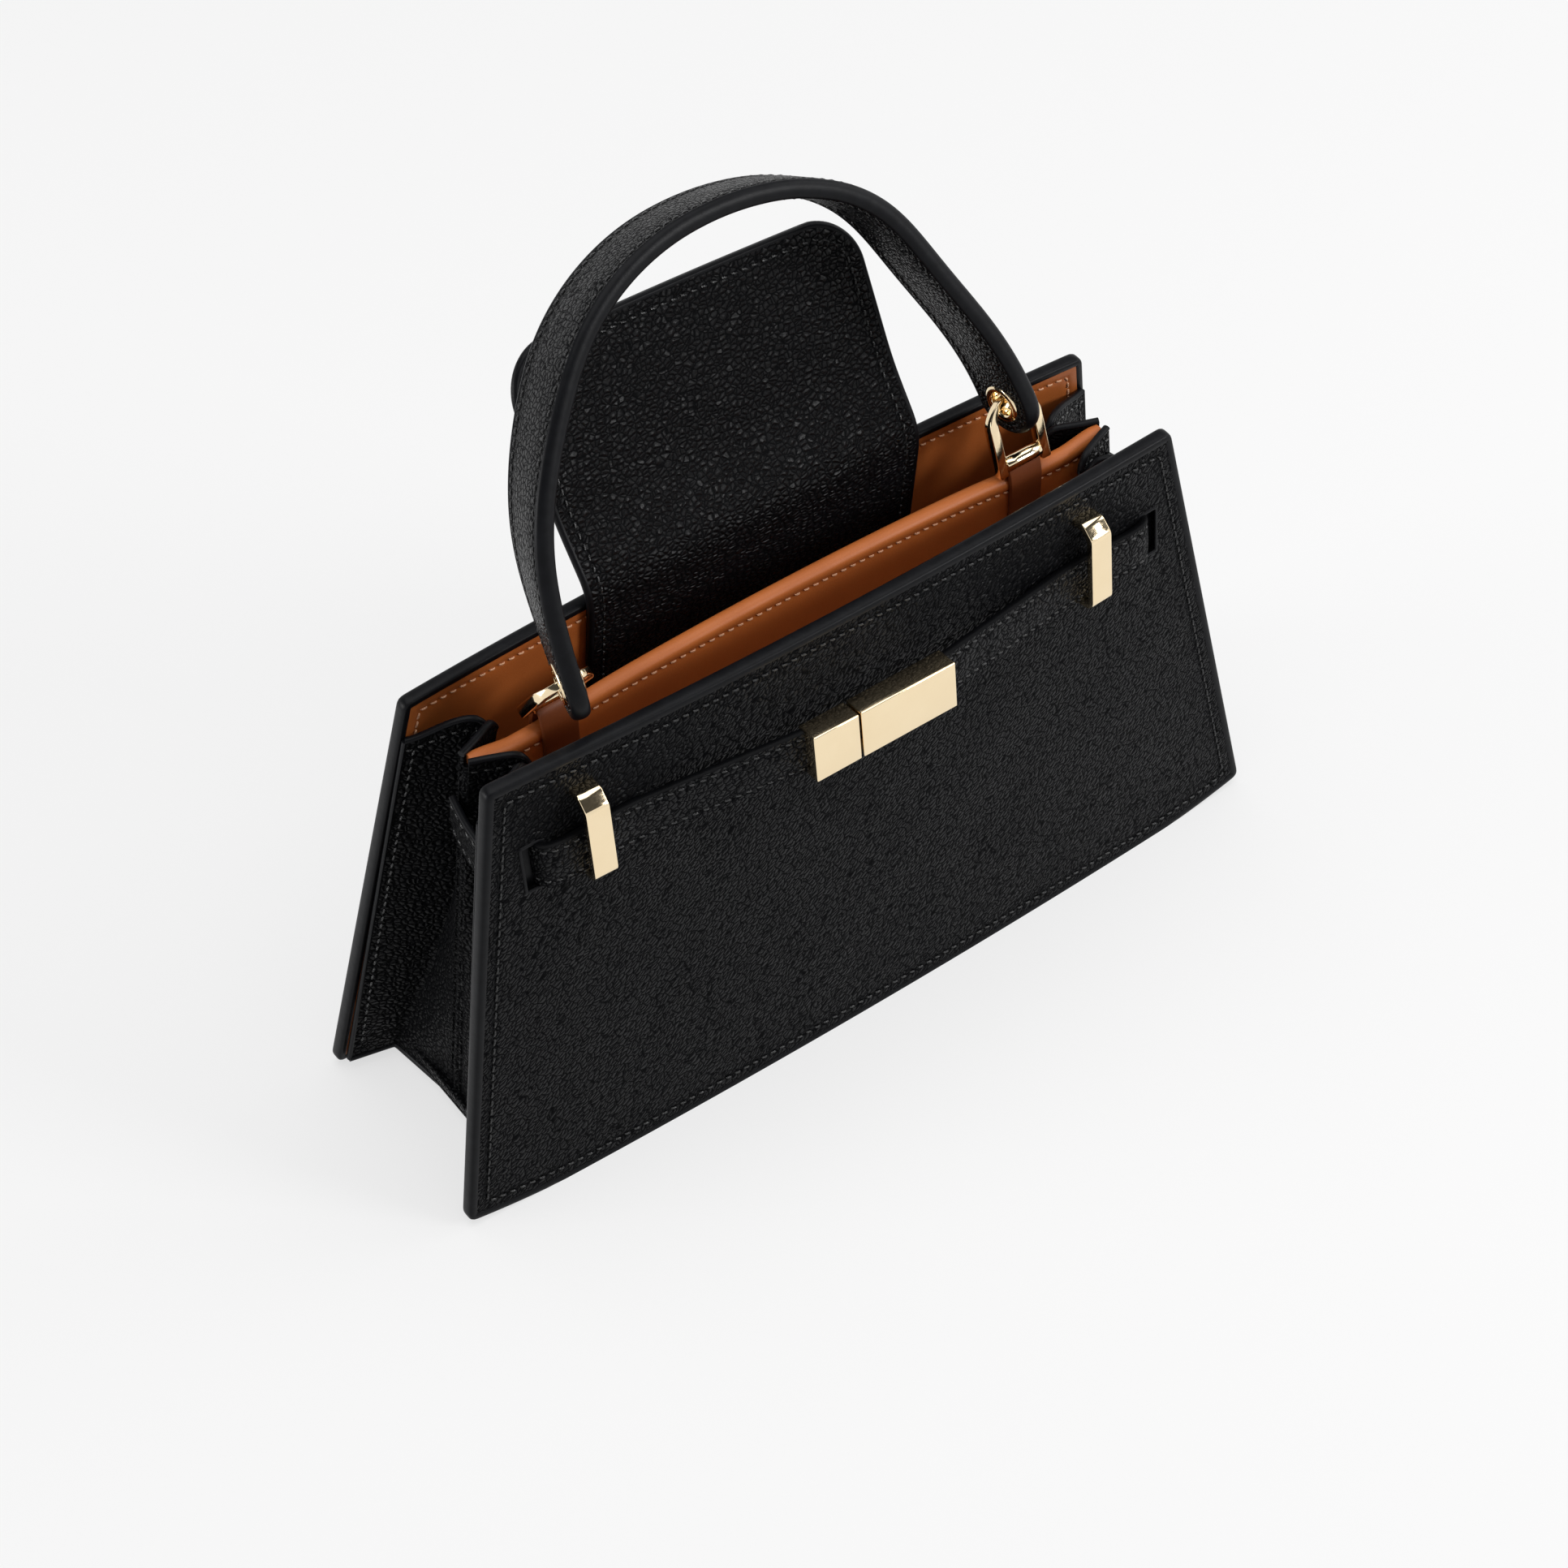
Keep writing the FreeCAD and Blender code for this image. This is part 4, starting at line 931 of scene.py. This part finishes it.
def clasp_block(side, name, body, *hidden):
    """One block of the clasp: the left one has the tongue and its magnet, the right one the pocket."""
    back = BELT_T + CLASP_BACK
    far = -side * CLASP_END[side]
    ends = sorted((-side * CLASP_START[side], far))
    spot = clasp_frame(side)
    block = Shells()
    block.box((ends[0], back - CLASP_T, -CLASP_HALF_W), (ends[1], back, CLASP_HALF_W), 0.38, 3, spot)
    if side < 0:
        tip = far + TONGUE_L
        block.box((far - 4.0, 1.0, -TONGUE_HALF_W), (tip, 2.5, TONGUE_HALF_W), 0.3, 3, spot)
        block.box((far + 5.0, 0.9, -3.2), (tip - 3.0, 2.6, 3.2), 0.15, 2, spot, slot=1)
    piece = block.make(f"{name}_shell", [GOLD, STEEL], sharp=CLASP_SHARP)
    if side > 0:
        wide = TONGUE_HALF_W + 0.3
        pocket = Shells()
        pocket.box((far - 1.0, 0.7, -wide), (far + TONGUE_L + 1.6, 4.0, wide), 0.2, 2, spot)
        carve(piece, pocket.make("pocket_cutter", [GOLD]), CLASP_SHARP)
    place(piece, body, "gold_metal", name, *hidden)


# Flap


def flap_profile():
    """The flap's middle line from its root inside the bag to its free end: y and z."""
    seat = face_y(FLAP_HALF_W, np.array(FLAP_SEAT_Z)) - PANEL_T - FLAP_SEAT_GAP - FLAP_T / 2
    points = list(np.stack([seat, FLAP_SEAT_Z], 1))
    for length, lean in FLAP_LEANS:
        angle = math.radians(lean)
        points.append(points[-1] + length * np.array([math.sin(angle), math.cos(angle)]))
    return relaxed(np.array(points), 0.5, 3.6)


FLAP_LINE = flap_profile()
FLAP_RUN = run_length(FLAP_LINE)
FLAP_SLOPE = directions(FLAP_LINE)
FLAP_L = FLAP_RUN[-1]


def flap_half(s):
    """Half the flap's width, with a round corner at each side of its free end."""
    past = np.clip(s - (FLAP_L - FLAP_CORNER_R), 0, FLAP_CORNER_R)
    return FLAP_HALF_W - FLAP_CORNER_R + np.sqrt(np.maximum(FLAP_CORNER_R ** 2 - past ** 2, 0))


def on_flap(u, s, off):
    """A place on the flap: across it, along it and out from its middle, front face positive."""
    y, z = at_run(s, FLAP_RUN, FLAP_LINE)
    ty, tz = at_run(s, FLAP_RUN, FLAP_SLOPE)
    ease = smoothstep((s - CURL_FROM) / CURL_RUN)
    curl = FLAP_CURL * ease * (np.abs(u) / FLAP_HALF_W) ** 4 - FLAP_WAVE * ease * np.cos(u / WAVE_L)
    free = np.clip((s - FLAP_FREE) / (FLAP_L - FLAP_FREE), 0, 1)
    twist = FLAP_TWIST * (FLAP_TWIST_BASE - u / FLAP_HALF_W) * free
    longer = FLAP_EXTRA * free
    return np.stack([u - FLAP_SWAY * free, y - tz * (off + curl) + twist + ty * longer,
                     z + ty * (off + curl) + FLAP_TWIST_RISE * twist + tz * longer], -1)


def flap_out(s, face):
    ty, tz = at_run(s, FLAP_RUN, FLAP_SLOPE)
    return np.stack([0 * s, -tz * face, ty * face], -1)


def flap_border(s_low, s_high, inset, step=1.2):
    """The lines along a flap part's free edges, drawn in by an inset: across and along."""
    half, top, corner_r = FLAP_HALF_W - inset, FLAP_L - inset, FLAP_CORNER_R - inset
    if s_high < FLAP_L:
        run = np.linspace(s_low, s_high, int((s_high - s_low) / step) + 2)
        left = np.stack([np.full_like(run, -half), run], 1)
        return [left, (left * MIRROR)[::-1]]
    run = np.linspace(s_low, top - corner_r, 24)[:-1]
    turn = np.radians(np.linspace(0, 90, 22))
    corner = np.stack([-half + corner_r * (1 - np.cos(turn)), top - corner_r + corner_r * np.sin(turn)], 1)
    left = np.concatenate([np.stack([np.full_like(run, -half), run], 1), corner])
    flat = np.linspace(left[-1, 0], -left[-1, 0], 50)[1:-1]
    middle = np.stack([flat, np.full_like(flat, top)], 1)
    return [np.concatenate([left, middle, (left * MIRROR)[::-1]])]


def flap_part(s_low, s_high, name):
    """One length of the flap: both skins, the painted edge and the stitching."""
    skin = Shells()
    is_tip = s_high >= FLAP_L
    s = np.linspace(s_low, s_high, int((s_high - s_low) / 1.2) + 2)
    if is_tip:
        tail = FLAP_L - SKIN_INSET
        bend = np.radians(np.linspace(0, 80, 14))
        s = np.concatenate([np.linspace(s_low, FLAP_L - FLAP_CORNER_R, 20)[:-1],
                            tail - (FLAP_CORNER_R - SKIN_INSET) * (1 - np.sin(bend)), [tail]])
    across = EDGE_STEPS + SKIN_INSET
    t = np.linspace(0, 1, 34)[1:-1]
    grid_u, grid_s, grid_e = [], [], []
    for one in s:
        half = flap_half(one + smoothstep((one - FLAP_L + 14) / 13) if is_tip else one)
        inner = (half - across[-1]) * (2 * t - 1)
        u = np.concatenate([-half + across, inner, half - across[::-1]])
        grid_u.append(u)
        grid_s.append(np.full_like(u, one))
        grid_e.append(np.minimum(half - np.abs(u), FLAP_L - one))
    u, ss, edge = np.array(grid_u), np.array(grid_s), np.array(grid_e)
    puff = 0.12 * smoothstep((edge - 5) / 12) - 0.3 * border(edge, 2.2) - stitch_groove(edge, deep=0.28)
    skin.slab(on_flap(u, ss, FLAP_T / 2 + puff), on_flap(u, ss, -FLAP_T / 2 - puff))

    off, deep = paint_section(1.0, 0.8, FLAP_T / 2 + 0.1, 0.7, 9)
    for line in flap_border(s_low, s_high, 0.0):
        edge_u, edge_s = grown(line, -side_normals(line), off)
        skin.sweep(on_flap(edge_u, edge_s, deep[None] + 0 * edge_u), 1)
    for line in flap_border(s_low, s_high, STITCH_INSET):
        row_u, row_s = line.T
        for face in (1, -1):
            skin.stitches(on_flap(row_u, row_s, face * (FLAP_T / 2 - 0.12)), flap_out(row_s, face), 2)
    return skin.make(name, [FLAP_LEATHER, EDGE, BLACK_THREAD])


def flap():
    lower = flap_part(0.0, FLAP_SEAM, "flap_lower")
    upper = flap_part(FLAP_SEAM, FLAP_L, "flap_upper")
    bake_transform(lower)
    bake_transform(upper)
    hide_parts("flap_root", "flap_bridge")
    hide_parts("flap_tip")


# Handle


def leaning_frame(side):
    """A shackle's own axes: its bar's middle, along the bar, across and up its lean."""
    lean = math.radians(SHACKLE_LEAN[side])
    return (np.array([TAB_X[side], 0.0, BAR_Z]), np.array([1.0, 0, 0]),
            np.array([0.0, math.cos(lean), -math.sin(lean)]), np.array([0.0, math.sin(lean), math.cos(lean)]))


def eyelet_point(side):
    origin, _, _, up = leaning_frame(side)
    return origin + SHACKLE_L * up


def handle_frame():
    """The middle of the eyelet line and the arch's own axes."""
    left, right = eyelet_point(-1), eyelet_point(1)
    turn = Vector((1, 0, 0)).rotation_difference(Vector((right - left).tolist())).to_matrix()
    axes = turn @ Matrix.Rotation(math.radians(-HANDLE_LEAN), 3, "X")
    columns = [np.array(axes.col[i]) for i in range(3)]
    return ((left + right) / 2, *columns)


def handle_line():
    """The strap's middle line in the arch's plane, left end to right end."""
    half_span = np.linalg.norm(eyelet_point(1) - eyelet_point(-1)) / 2
    top = math.radians(HANDLE_TOP_ANGLE)
    start = np.array([HANDLE_TOP_R * math.sin(top), HANDLE_H - HANDLE_TOP_R * (1 - math.cos(top))])
    chord = np.array([half_span, 0.0]) - start
    turn = 2 * (math.atan2(-chord[1], chord[0]) - top)
    side_r = np.linalg.norm(chord) / (2 * math.sin(turn / 2))
    centre = start - np.array([math.sin(top), math.cos(top)]) * side_r
    a = np.linspace(0, top, 60)
    crown = np.stack([HANDLE_TOP_R * np.sin(a), HANDLE_H - HANDLE_TOP_R + HANDLE_TOP_R * np.cos(a)], 1)
    b = np.linspace(top, top + turn, 80)[1:]
    leg = np.stack([centre[0] + side_r * np.sin(b), centre[1] + side_r * np.cos(b)], 1)
    foot = leg[-1] + np.array([math.cos(top + turn), -math.sin(top + turn)]) * HANDLE_HALF_W
    right = np.concatenate([crown, leg, [foot]])
    return resample(np.concatenate([right[1:][::-1] * MIRROR, right]), 0.5)


HANDLE_SPOT = handle_frame()
HANDLE_LINE = handle_line()
HANDLE_RUN = run_length(HANDLE_LINE)
HANDLE_L = HANDLE_RUN[-1]
HANDLE_SLOPE = directions(HANDLE_LINE)


def handle_twist(s):
    """How far the strap is turned about its own line: only the left leg is, most at its foot."""
    return math.radians(HANDLE_TWIST) * smoothstep(1 - (s - HANDLE_HALF_W) / TWIST_RUN)


def on_handle(u, s, off):
    """A place on the strap: across it, along it, and out from its middle line."""
    x, z = at_run(s, HANDLE_RUN, HANDLE_LINE)
    tx, tz = at_run(s, HANDLE_RUN, HANDLE_SLOPE)
    up = np.clip(z / HANDLE_H, 0, 1)
    leg = np.exp(-((up - LEG_UP) / LEG_REACH) ** 2)
    sway = HANDLE_SWAY * smoothstep(up)
    for side in (-1, 1):
        sway = sway + HANDLE_DRAW[side] * smoothstep(side * x / LEG_OUT) * leg
    z = z - HANDLE_SINK * up ** 4
    swell = SHOULDER * smoothstep(x / LEG_OUT) * np.exp(-((up - SHOULDER_UP) / SHOULDER_REACH) ** 2)
    twist = handle_twist(s)
    across = u * np.cos(twist) + off * np.sin(twist)
    off = off * np.cos(twist) - u * np.sin(twist) + swell
    return in_frame(np.stack([x - tz * off - sway, across + 0 * x, z + tx * off], -1), HANDLE_SPOT)


def handle_out(s, face):
    tx, tz = at_run(s, HANDLE_RUN, HANDLE_SLOPE)
    flat, turned = face * np.cos(handle_twist(s)), face * np.sin(handle_twist(s))
    local = np.stack([-tz * flat, turned, tx * flat], -1)
    return in_frame(local, (np.zeros(3), *HANDLE_SPOT[1:]))


def handle_half(s, radius):
    """Half width of the strap, with a round end at each foot."""
    past = np.clip(HANDLE_HALF_W - np.minimum(s, HANDLE_L - s), 0, HANDLE_HALF_W)
    return np.sqrt(np.maximum(radius ** 2 - np.minimum(past, radius) ** 2, 0.0))


def stadium(inset):
    """The strap's outline in u and s, anticlockwise, drawn in by an inset."""
    r = HANDLE_HALF_W - inset
    a = np.radians(np.linspace(-90, 90, 26))
    run = np.linspace(HANDLE_HALF_W, HANDLE_L - HANDLE_HALF_W, 190)[1:-1]
    foot = np.stack([r * np.sin(a), HANDLE_HALF_W - r * np.cos(a)], 1)
    head = np.stack([-r * np.sin(a), HANDLE_L - HANDLE_HALF_W + r * np.cos(a)], 1)
    side = np.stack([np.full_like(run, r), run], 1)
    return np.concatenate([foot, side, head, (side * MIRROR)[::-1]])


# Grid stations from the strap's border to its middle
HANDLE_STEPS = np.array([0, 0.4, 0.9, 1.2, 1.5, 1.8, 2.1, 2.6, 3.4, 4.6, 6.2])


def handle():
    """The padded strap with its eyelet holes, painted edge and stitching."""
    half_t, radius = HANDLE_T / 2, HANDLE_HALF_W - SKIN_INSET
    foot = HANDLE_HALF_W - radius * np.cos(np.radians(np.linspace(4, 90, 16)))
    legs = np.linspace(HANDLE_HALF_W, HANDLE_L - HANDLE_HALF_W, 200)[1:-1]
    s = np.concatenate([foot, legs, (HANDLE_L - foot)[::-1]])
    across = HANDLE_STEPS / radius
    v = np.concatenate([-1 + across, [0.0], 1 - across[::-1]])
    u = handle_half(s, radius)[:, None] * v[None]
    ss = s[:, None] + 0 * u
    mid = np.clip(ss, HANDLE_HALF_W, HANDLE_L - HANDLE_HALF_W)
    edge = HANDLE_HALF_W - np.hypot(u, ss - mid)
    puff = 0.2 * smoothstep((edge - 2.8) / 3) - 0.35 * border(edge, 2.0)
    puff = puff - stitch_groove(edge, HANDLE_SEAM, 0.3, 0.5)
    skin = Shells()
    skin.slab(on_handle(u, ss, half_t + puff), on_handle(u, ss, -half_t - puff))
    body = skin.make("handle_strap", [HANDLE_LEATHER])
    turn = circle(32)
    for side, at in ((-1, HANDLE_HALF_W), (1, HANDLE_L - HANDLE_HALF_W)):
        hole = on_handle(EYELET_HOLE_R * np.cos(turn), at + EYELET_HOLE_R * np.sin(turn), 0 * turn)
        axis = handle_out(np.full(len(turn), at), 1)
        cutter = Shells()
        cutter.sweep(np.array([hole + axis * d for d in (-6.0, 6.0)]))
        carve(body, cutter.make(f"eyelet_cutter_{side}", [EDGE]))
        eyelet("eyelet_right" if side > 0 else "eyelet_left", at)
    place(body, "handle", "black_leather", "handle_outer", "handle_core", "handle_lining")

    trim = Shells()
    loop = stadium(0.0)
    off, deep = paint_section(1.35, 1.15, half_t + 0.05, 1.6, 11)
    edge_u, edge_s = grown(loop, side_normals(loop, closed=True), off)
    trim.sweep(on_handle(edge_u, edge_s, deep[None] + 0 * edge_u), closed=True)
    place(trim.make("handle_edge", [EDGE]), "handle", "black_leather")

    seam = Shells()
    row_u, row_s = stadium(HANDLE_SEAM).T
    for face in (1, -1):
        path = on_handle(row_u, row_s, face * (half_t - 0.1) + 0 * row_u)
        seam.stitches(path, handle_out(row_s, face), 0, closed=True)
    place(seam.make("handle_stitching", [BLACK_THREAD]), "handle", "black_leather")


# An eyelet's section from its bore outward over the front roll: distance from the axis, and along it
EYELET_FRONT = [(3.3, 2.4), (3.45, 2.72), (3.85, 2.92), (4.4, 2.96), (4.95, 2.8), (5.25, 2.5), (5.3, 2.2),
                (4.0, 2.1)]
EYELET_BACK = [(r, -d) for r, d in EYELET_FRONT]
EYELET_SECTION = np.array(EYELET_BACK[:1] + EYELET_FRONT + EYELET_BACK[:0:-1])


def eyelet(name, at):
    """A rolled ring through the strap's round end."""
    turn = circle(40)
    centre = on_handle(np.zeros(1), np.array([at]), np.zeros(1))[0]
    axis = handle_out(np.array([at]), 1)[0]
    across = unit(on_handle(np.ones(1), np.array([at]), np.zeros(1))[0] - centre)
    along = np.cross(axis, across)
    spokes = across[None] * np.cos(turn)[:, None] + along[None] * np.sin(turn)[:, None]
    rings = centre + spokes[:, None] * EYELET_SECTION[None, :, :1] + axis * EYELET_SECTION[None, :, 1:]
    ring = Shells()
    ring.sweep(rings, closed=True)
    place(ring.make(f"{name}_ring", [GOLD], sharp=METAL_SHARP), "handle", "gold_metal", name)


def shackle(side, name):
    """A stirrup of rounded flat wire, with its cross bar."""
    spot = leaning_frame(side)
    spring = SHACKLE_L + 0.5 - SHACKLE_HALF
    a = np.linspace(0, math.pi, 40)
    foot = np.array([[SHACKLE_HALF, -BAR_DROP - SHACKLE_FOOT]])
    arch = np.stack([SHACKLE_HALF * np.cos(a), spring + SHACKLE_HALF * np.sin(a)], 1)
    line = resample(np.concatenate([foot, arch, foot * MIRROR]), 0.4)
    section = rounded_section(SHACKLE_HALF_W, SHACKLE_HALF_D, SHACKLE_CORNER)
    taper = 1.0 - 0.32 * smoothstep((line[:, 1] - spring) / 5.0)
    taper[[0, -1]] = 0.9
    rings = []
    for point, normal, size in zip(line, side_normals(line), taper):
        x, z = (point + normal * section[:, :1] * size).T
        rings.append(np.stack([x, section[:, 1] * size, z], 1))
    wire = Shells()
    wire.sweep(in_frame(np.array(rings), spot))
    place(wire.make(f"{name}_wire", [GOLD], sharp=METAL_SHARP), "shackles", "gold_metal", name)
    turn = circle(24)
    rings = [np.stack([np.full(len(turn), x), r * np.cos(turn), r * np.sin(turn) - BAR_DROP], 1)
             for x, r in BAR_TURNING]
    bar = Shells()
    bar.sweep(in_frame(np.array(rings), spot))
    bar_name = name.replace("shackle", "shackle_bar")
    place(bar.make(f"{bar_name}_rod", [GOLD], sharp=METAL_SHARP), "shackles", "gold_metal", bar_name)


def handle_tab(side, name):
    """A leather loop over the bar, with a leg down each face of the divider, in the tan painted darker as
    shade.
    """
    r = DIVIDER_HALF_T + TAB_T / 2
    leg = np.array([(r, BAR_Z - TAB_DROP), (r, BAR_Z - 7.0), (1.5, BAR_Z - 3.0), (0.75, BAR_Z - BAR_DROP)])
    line = relaxed(np.concatenate([leg, (leg * MIRROR)[::-1]]), 0.5, 0.7)
    half = TAB_W / 2
    section = np.array([(-half + 0.3, 0.62), (-half + 1.2, 0.72), (0, 0.74), (half - 1.2, 0.72),
                        (half - 0.3, 0.62), (half, 0.25), (half, -0.25), (half - 0.3, -0.65), (0, -0.68),
                        (-half + 0.3, -0.65), (-half, -0.25), (-half, 0.25)])
    rings = []
    for point, normal in zip(line, side_normals(line)):
        y, z = (point + normal * section[:, 1:2]).T
        rings.append(np.stack([TAB_X[side] + section[:, 0], y, z], 1))
    tab = Shells()
    tab.sweep(np.array(rings))
    place(tab.make(f"{name}_loop", [SHADED_TAB_TAN]), "bag", "tan_leather", name)


# Everything in its place

front_leather = panel(-1, "front", PANEL_LEATHER)
panel(1, "back", BACK_LEATHER)
slots_and_rims(front_leather)
base()
divider()
for sx, end in ((-1, "left"), (1, "right")):
    gusset(sx, 1, f"gusset_back_{end}")
    gusset(sx, -1, f"gusset_front_{end}")
    gusset_seam(sx, f"gusset_seam_{end}")
    side_strap(sx, f"side_strap_{end}")
    keeper(sx, f"keeper_{end}")
    shackle(sx, f"shackle_{end}")
    handle_tab(sx, f"handle_tab_{end}")
left_belt = belt(-1, "belt_left_strap")
place(left_belt, "bag", "black_leather", "belt_left")
right_belt = belt(1, "belt_right_strap")
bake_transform(right_belt)
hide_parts("belt_right_tail", "belt_right_lead")
clasp_block(-1, "clasp_left_block", "bag", "clasp_tongue", "clasp_left_magnet", "clasp_left_rivets")
clasp_block(1, "clasp_right_block", "clasp_lead", "clasp_right_magnet", "clasp_right_rivets")
flap()
handle()

# The backing plates behind the keepers stay as they are in the frame
for end in ("left", "right"):
    mesh = frame["nodes"][f"keeper_plate_{end}"].data
    if not mesh.materials:
        mesh.materials.append(GOLD)
    for i in range(len(mesh.materials)):
        mesh.materials[i] = GOLD


# Floor, light and camera, in metres

FLOOR_GLOW, FLOOR_TONE, FAR_GLOW = 0.655, 0.27, 1.3
FLOOR_RINGS, FLOOR_SIDES, WALL_R, WALL_TOP = (0.5, 1.0, 2.0, 3.0), 64, 1.0, 2.2


def stage_material():
    """Pale studio paper: its white is even for the camera and for reflections, and it keeps the shadow."""
    n = Nodes("studio_paper")
    n.tree.nodes.remove(n.shader)
    out = n.tree.nodes["Material Output"]
    coord = n.node("ShaderNodeTexCoord").outputs["Object"]
    fibre = n.noise(coord, 60.0, 2.0)
    tone = n.blend(fibre, (FLOOR_TONE * 0.995,) * 3, (FLOOR_TONE,) * 3)
    diffuse = n.node("ShaderNodeBsdfDiffuse", Color=tone)
    rays = n.node("ShaderNodeLightPath").outputs
    seen = n.math("MAXIMUM", rays["Is Camera Ray"], rays["Is Glossy Ray"])
    seen = n.math("MAXIMUM", seen, rays["Is Transmission Ray"])
    reach = n.node("ShaderNodeVectorMath", {"operation": "LENGTH"}, coord).outputs["Value"]
    even = n.remap(reach, 0.9, 2.4, FLOOR_GLOW, FLOOR_GLOW * FAR_GLOW)
    glow = n.node("ShaderNodeEmission", Strength=n.math("MULTIPLY", seen, even))
    both = n.node("ShaderNodeAddShader", (), diffuse.outputs[0], glow.outputs[0])
    n.set(out, "Surface", both.outputs[0])
    return n.material


def studio():
    """A round floor that turns up into a low wall."""
    last = FLOOR_RINGS[-1]
    profile = [(r, 0.0) for r in FLOOR_RINGS]
    for turn in np.radians((15, 30, 45, 60, 75, 90)):
        profile.append((last + WALL_R * math.sin(turn), WALL_R - WALL_R * math.cos(turn)))
    profile.append((last + WALL_R, WALL_TOP))
    count = FLOOR_SIDES
    verts = [(0.0, 0.0, 0.0)]
    for r, z in profile:
        verts += [(r * math.cos(a), r * math.sin(a), z) for a in circle(count)]
    faces = [(0, 1 + i, 1 + (i + 1) % count) for i in range(count)]
    for k in range(len(profile) - 1):
        first = 1 + k * count
        for i in range(count):
            j = (i + 1) % count
            faces.append((first + i, first + count + i, first + count + j, first + j))
    mesh = bpy.data.meshes.new("studio_floor")
    mesh.from_pydata(verts, [], faces)
    mesh.materials.append(stage_material())
    mesh.shade_smooth()
    floor = bpy.data.objects.new("studio_floor", mesh)
    bpy.context.scene.collection.objects.link(floor)


def lamp(name, place_at, aim, size, power):
    light = bpy.data.lights.new(name, "AREA")
    light.shape, light.size, light.size_y = "RECTANGLE", size[0], size[1]
    light.energy = power
    holder = bpy.data.objects.new(name, light)
    holder.location = place_at
    holder.rotation_euler = (Vector(aim) - Vector(place_at)).to_track_quat("-Z", "Y").to_euler()
    bpy.context.scene.collection.objects.link(holder)


studio()
lamp("key", (0.72, -0.9, 0.7), (0.03, 0, 0.08), (0.4, 0.4), 7.0)
lamp("top", (0.1, 0.15, 2.2), (0, 0, 0.05), (2.6, 2.6), 44.0)
lamp("left", (-1.5, 0.55, 0.4), (0, 0, 0.15), (0.8, 0.6), 11.0)
lamp("side", (1.5, -0.3, 1.0), (0, 0, 0.08), (0.9, 0.9), 6.0)

WORLD_STRENGTH = 0.06
world = bpy.data.worlds.new("studio_world")
world.use_nodes = True
world.node_tree.nodes["Background"].inputs["Color"].default_value = (1, 1, 1, 1)
world.node_tree.nodes["Background"].inputs["Strength"].default_value = WORLD_STRENGTH
bpy.context.scene.world = world

AZIMUTH, ELEVATION, ROLL = math.radians(-35.8), math.radians(47.99), math.radians(-0.61)
FOCAL_PX, IMAGE_PX, SENSOR_MM = 4500.0, 1932.0, 36.0
CAMERA_RISE, CAMERA_LEFT = 0.0006, 0.0004
CAMERA_AT = Vector((-0.36977, -0.50705 + SHIFT_Y, 0.74532 + 0.0031))


def camera():
    back = Vector((math.sin(AZIMUTH) * math.cos(ELEVATION), -math.cos(AZIMUTH) * math.cos(ELEVATION),
                   math.sin(ELEVATION)))
    right = (-back).cross(Vector((0, 0, 1))).normalized()
    up = back.cross(right)
    turned_right = right * math.cos(ROLL) + up * math.sin(ROLL)
    turned_up = up * math.cos(ROLL) - right * math.sin(ROLL)
    lens = bpy.data.cameras.new("photo_camera")
    lens.sensor_width = SENSOR_MM
    lens.sensor_fit = "HORIZONTAL"
    lens.lens = FOCAL_PX * SENSOR_MM / IMAGE_PX
    lens.clip_start, lens.clip_end = 0.01, 50.0
    view = bpy.data.objects.new("photo_camera", lens)
    pose = Matrix((turned_right, turned_up, back)).transposed().to_4x4()
    pose.translation = CAMERA_AT + turned_up * CAMERA_RISE - turned_right * CAMERA_LEFT
    view.matrix_world = pose
    bpy.context.scene.collection.objects.link(view)
    bpy.context.scene.camera = view


camera()
bpy.context.scene.view_settings.view_transform = "Standard"
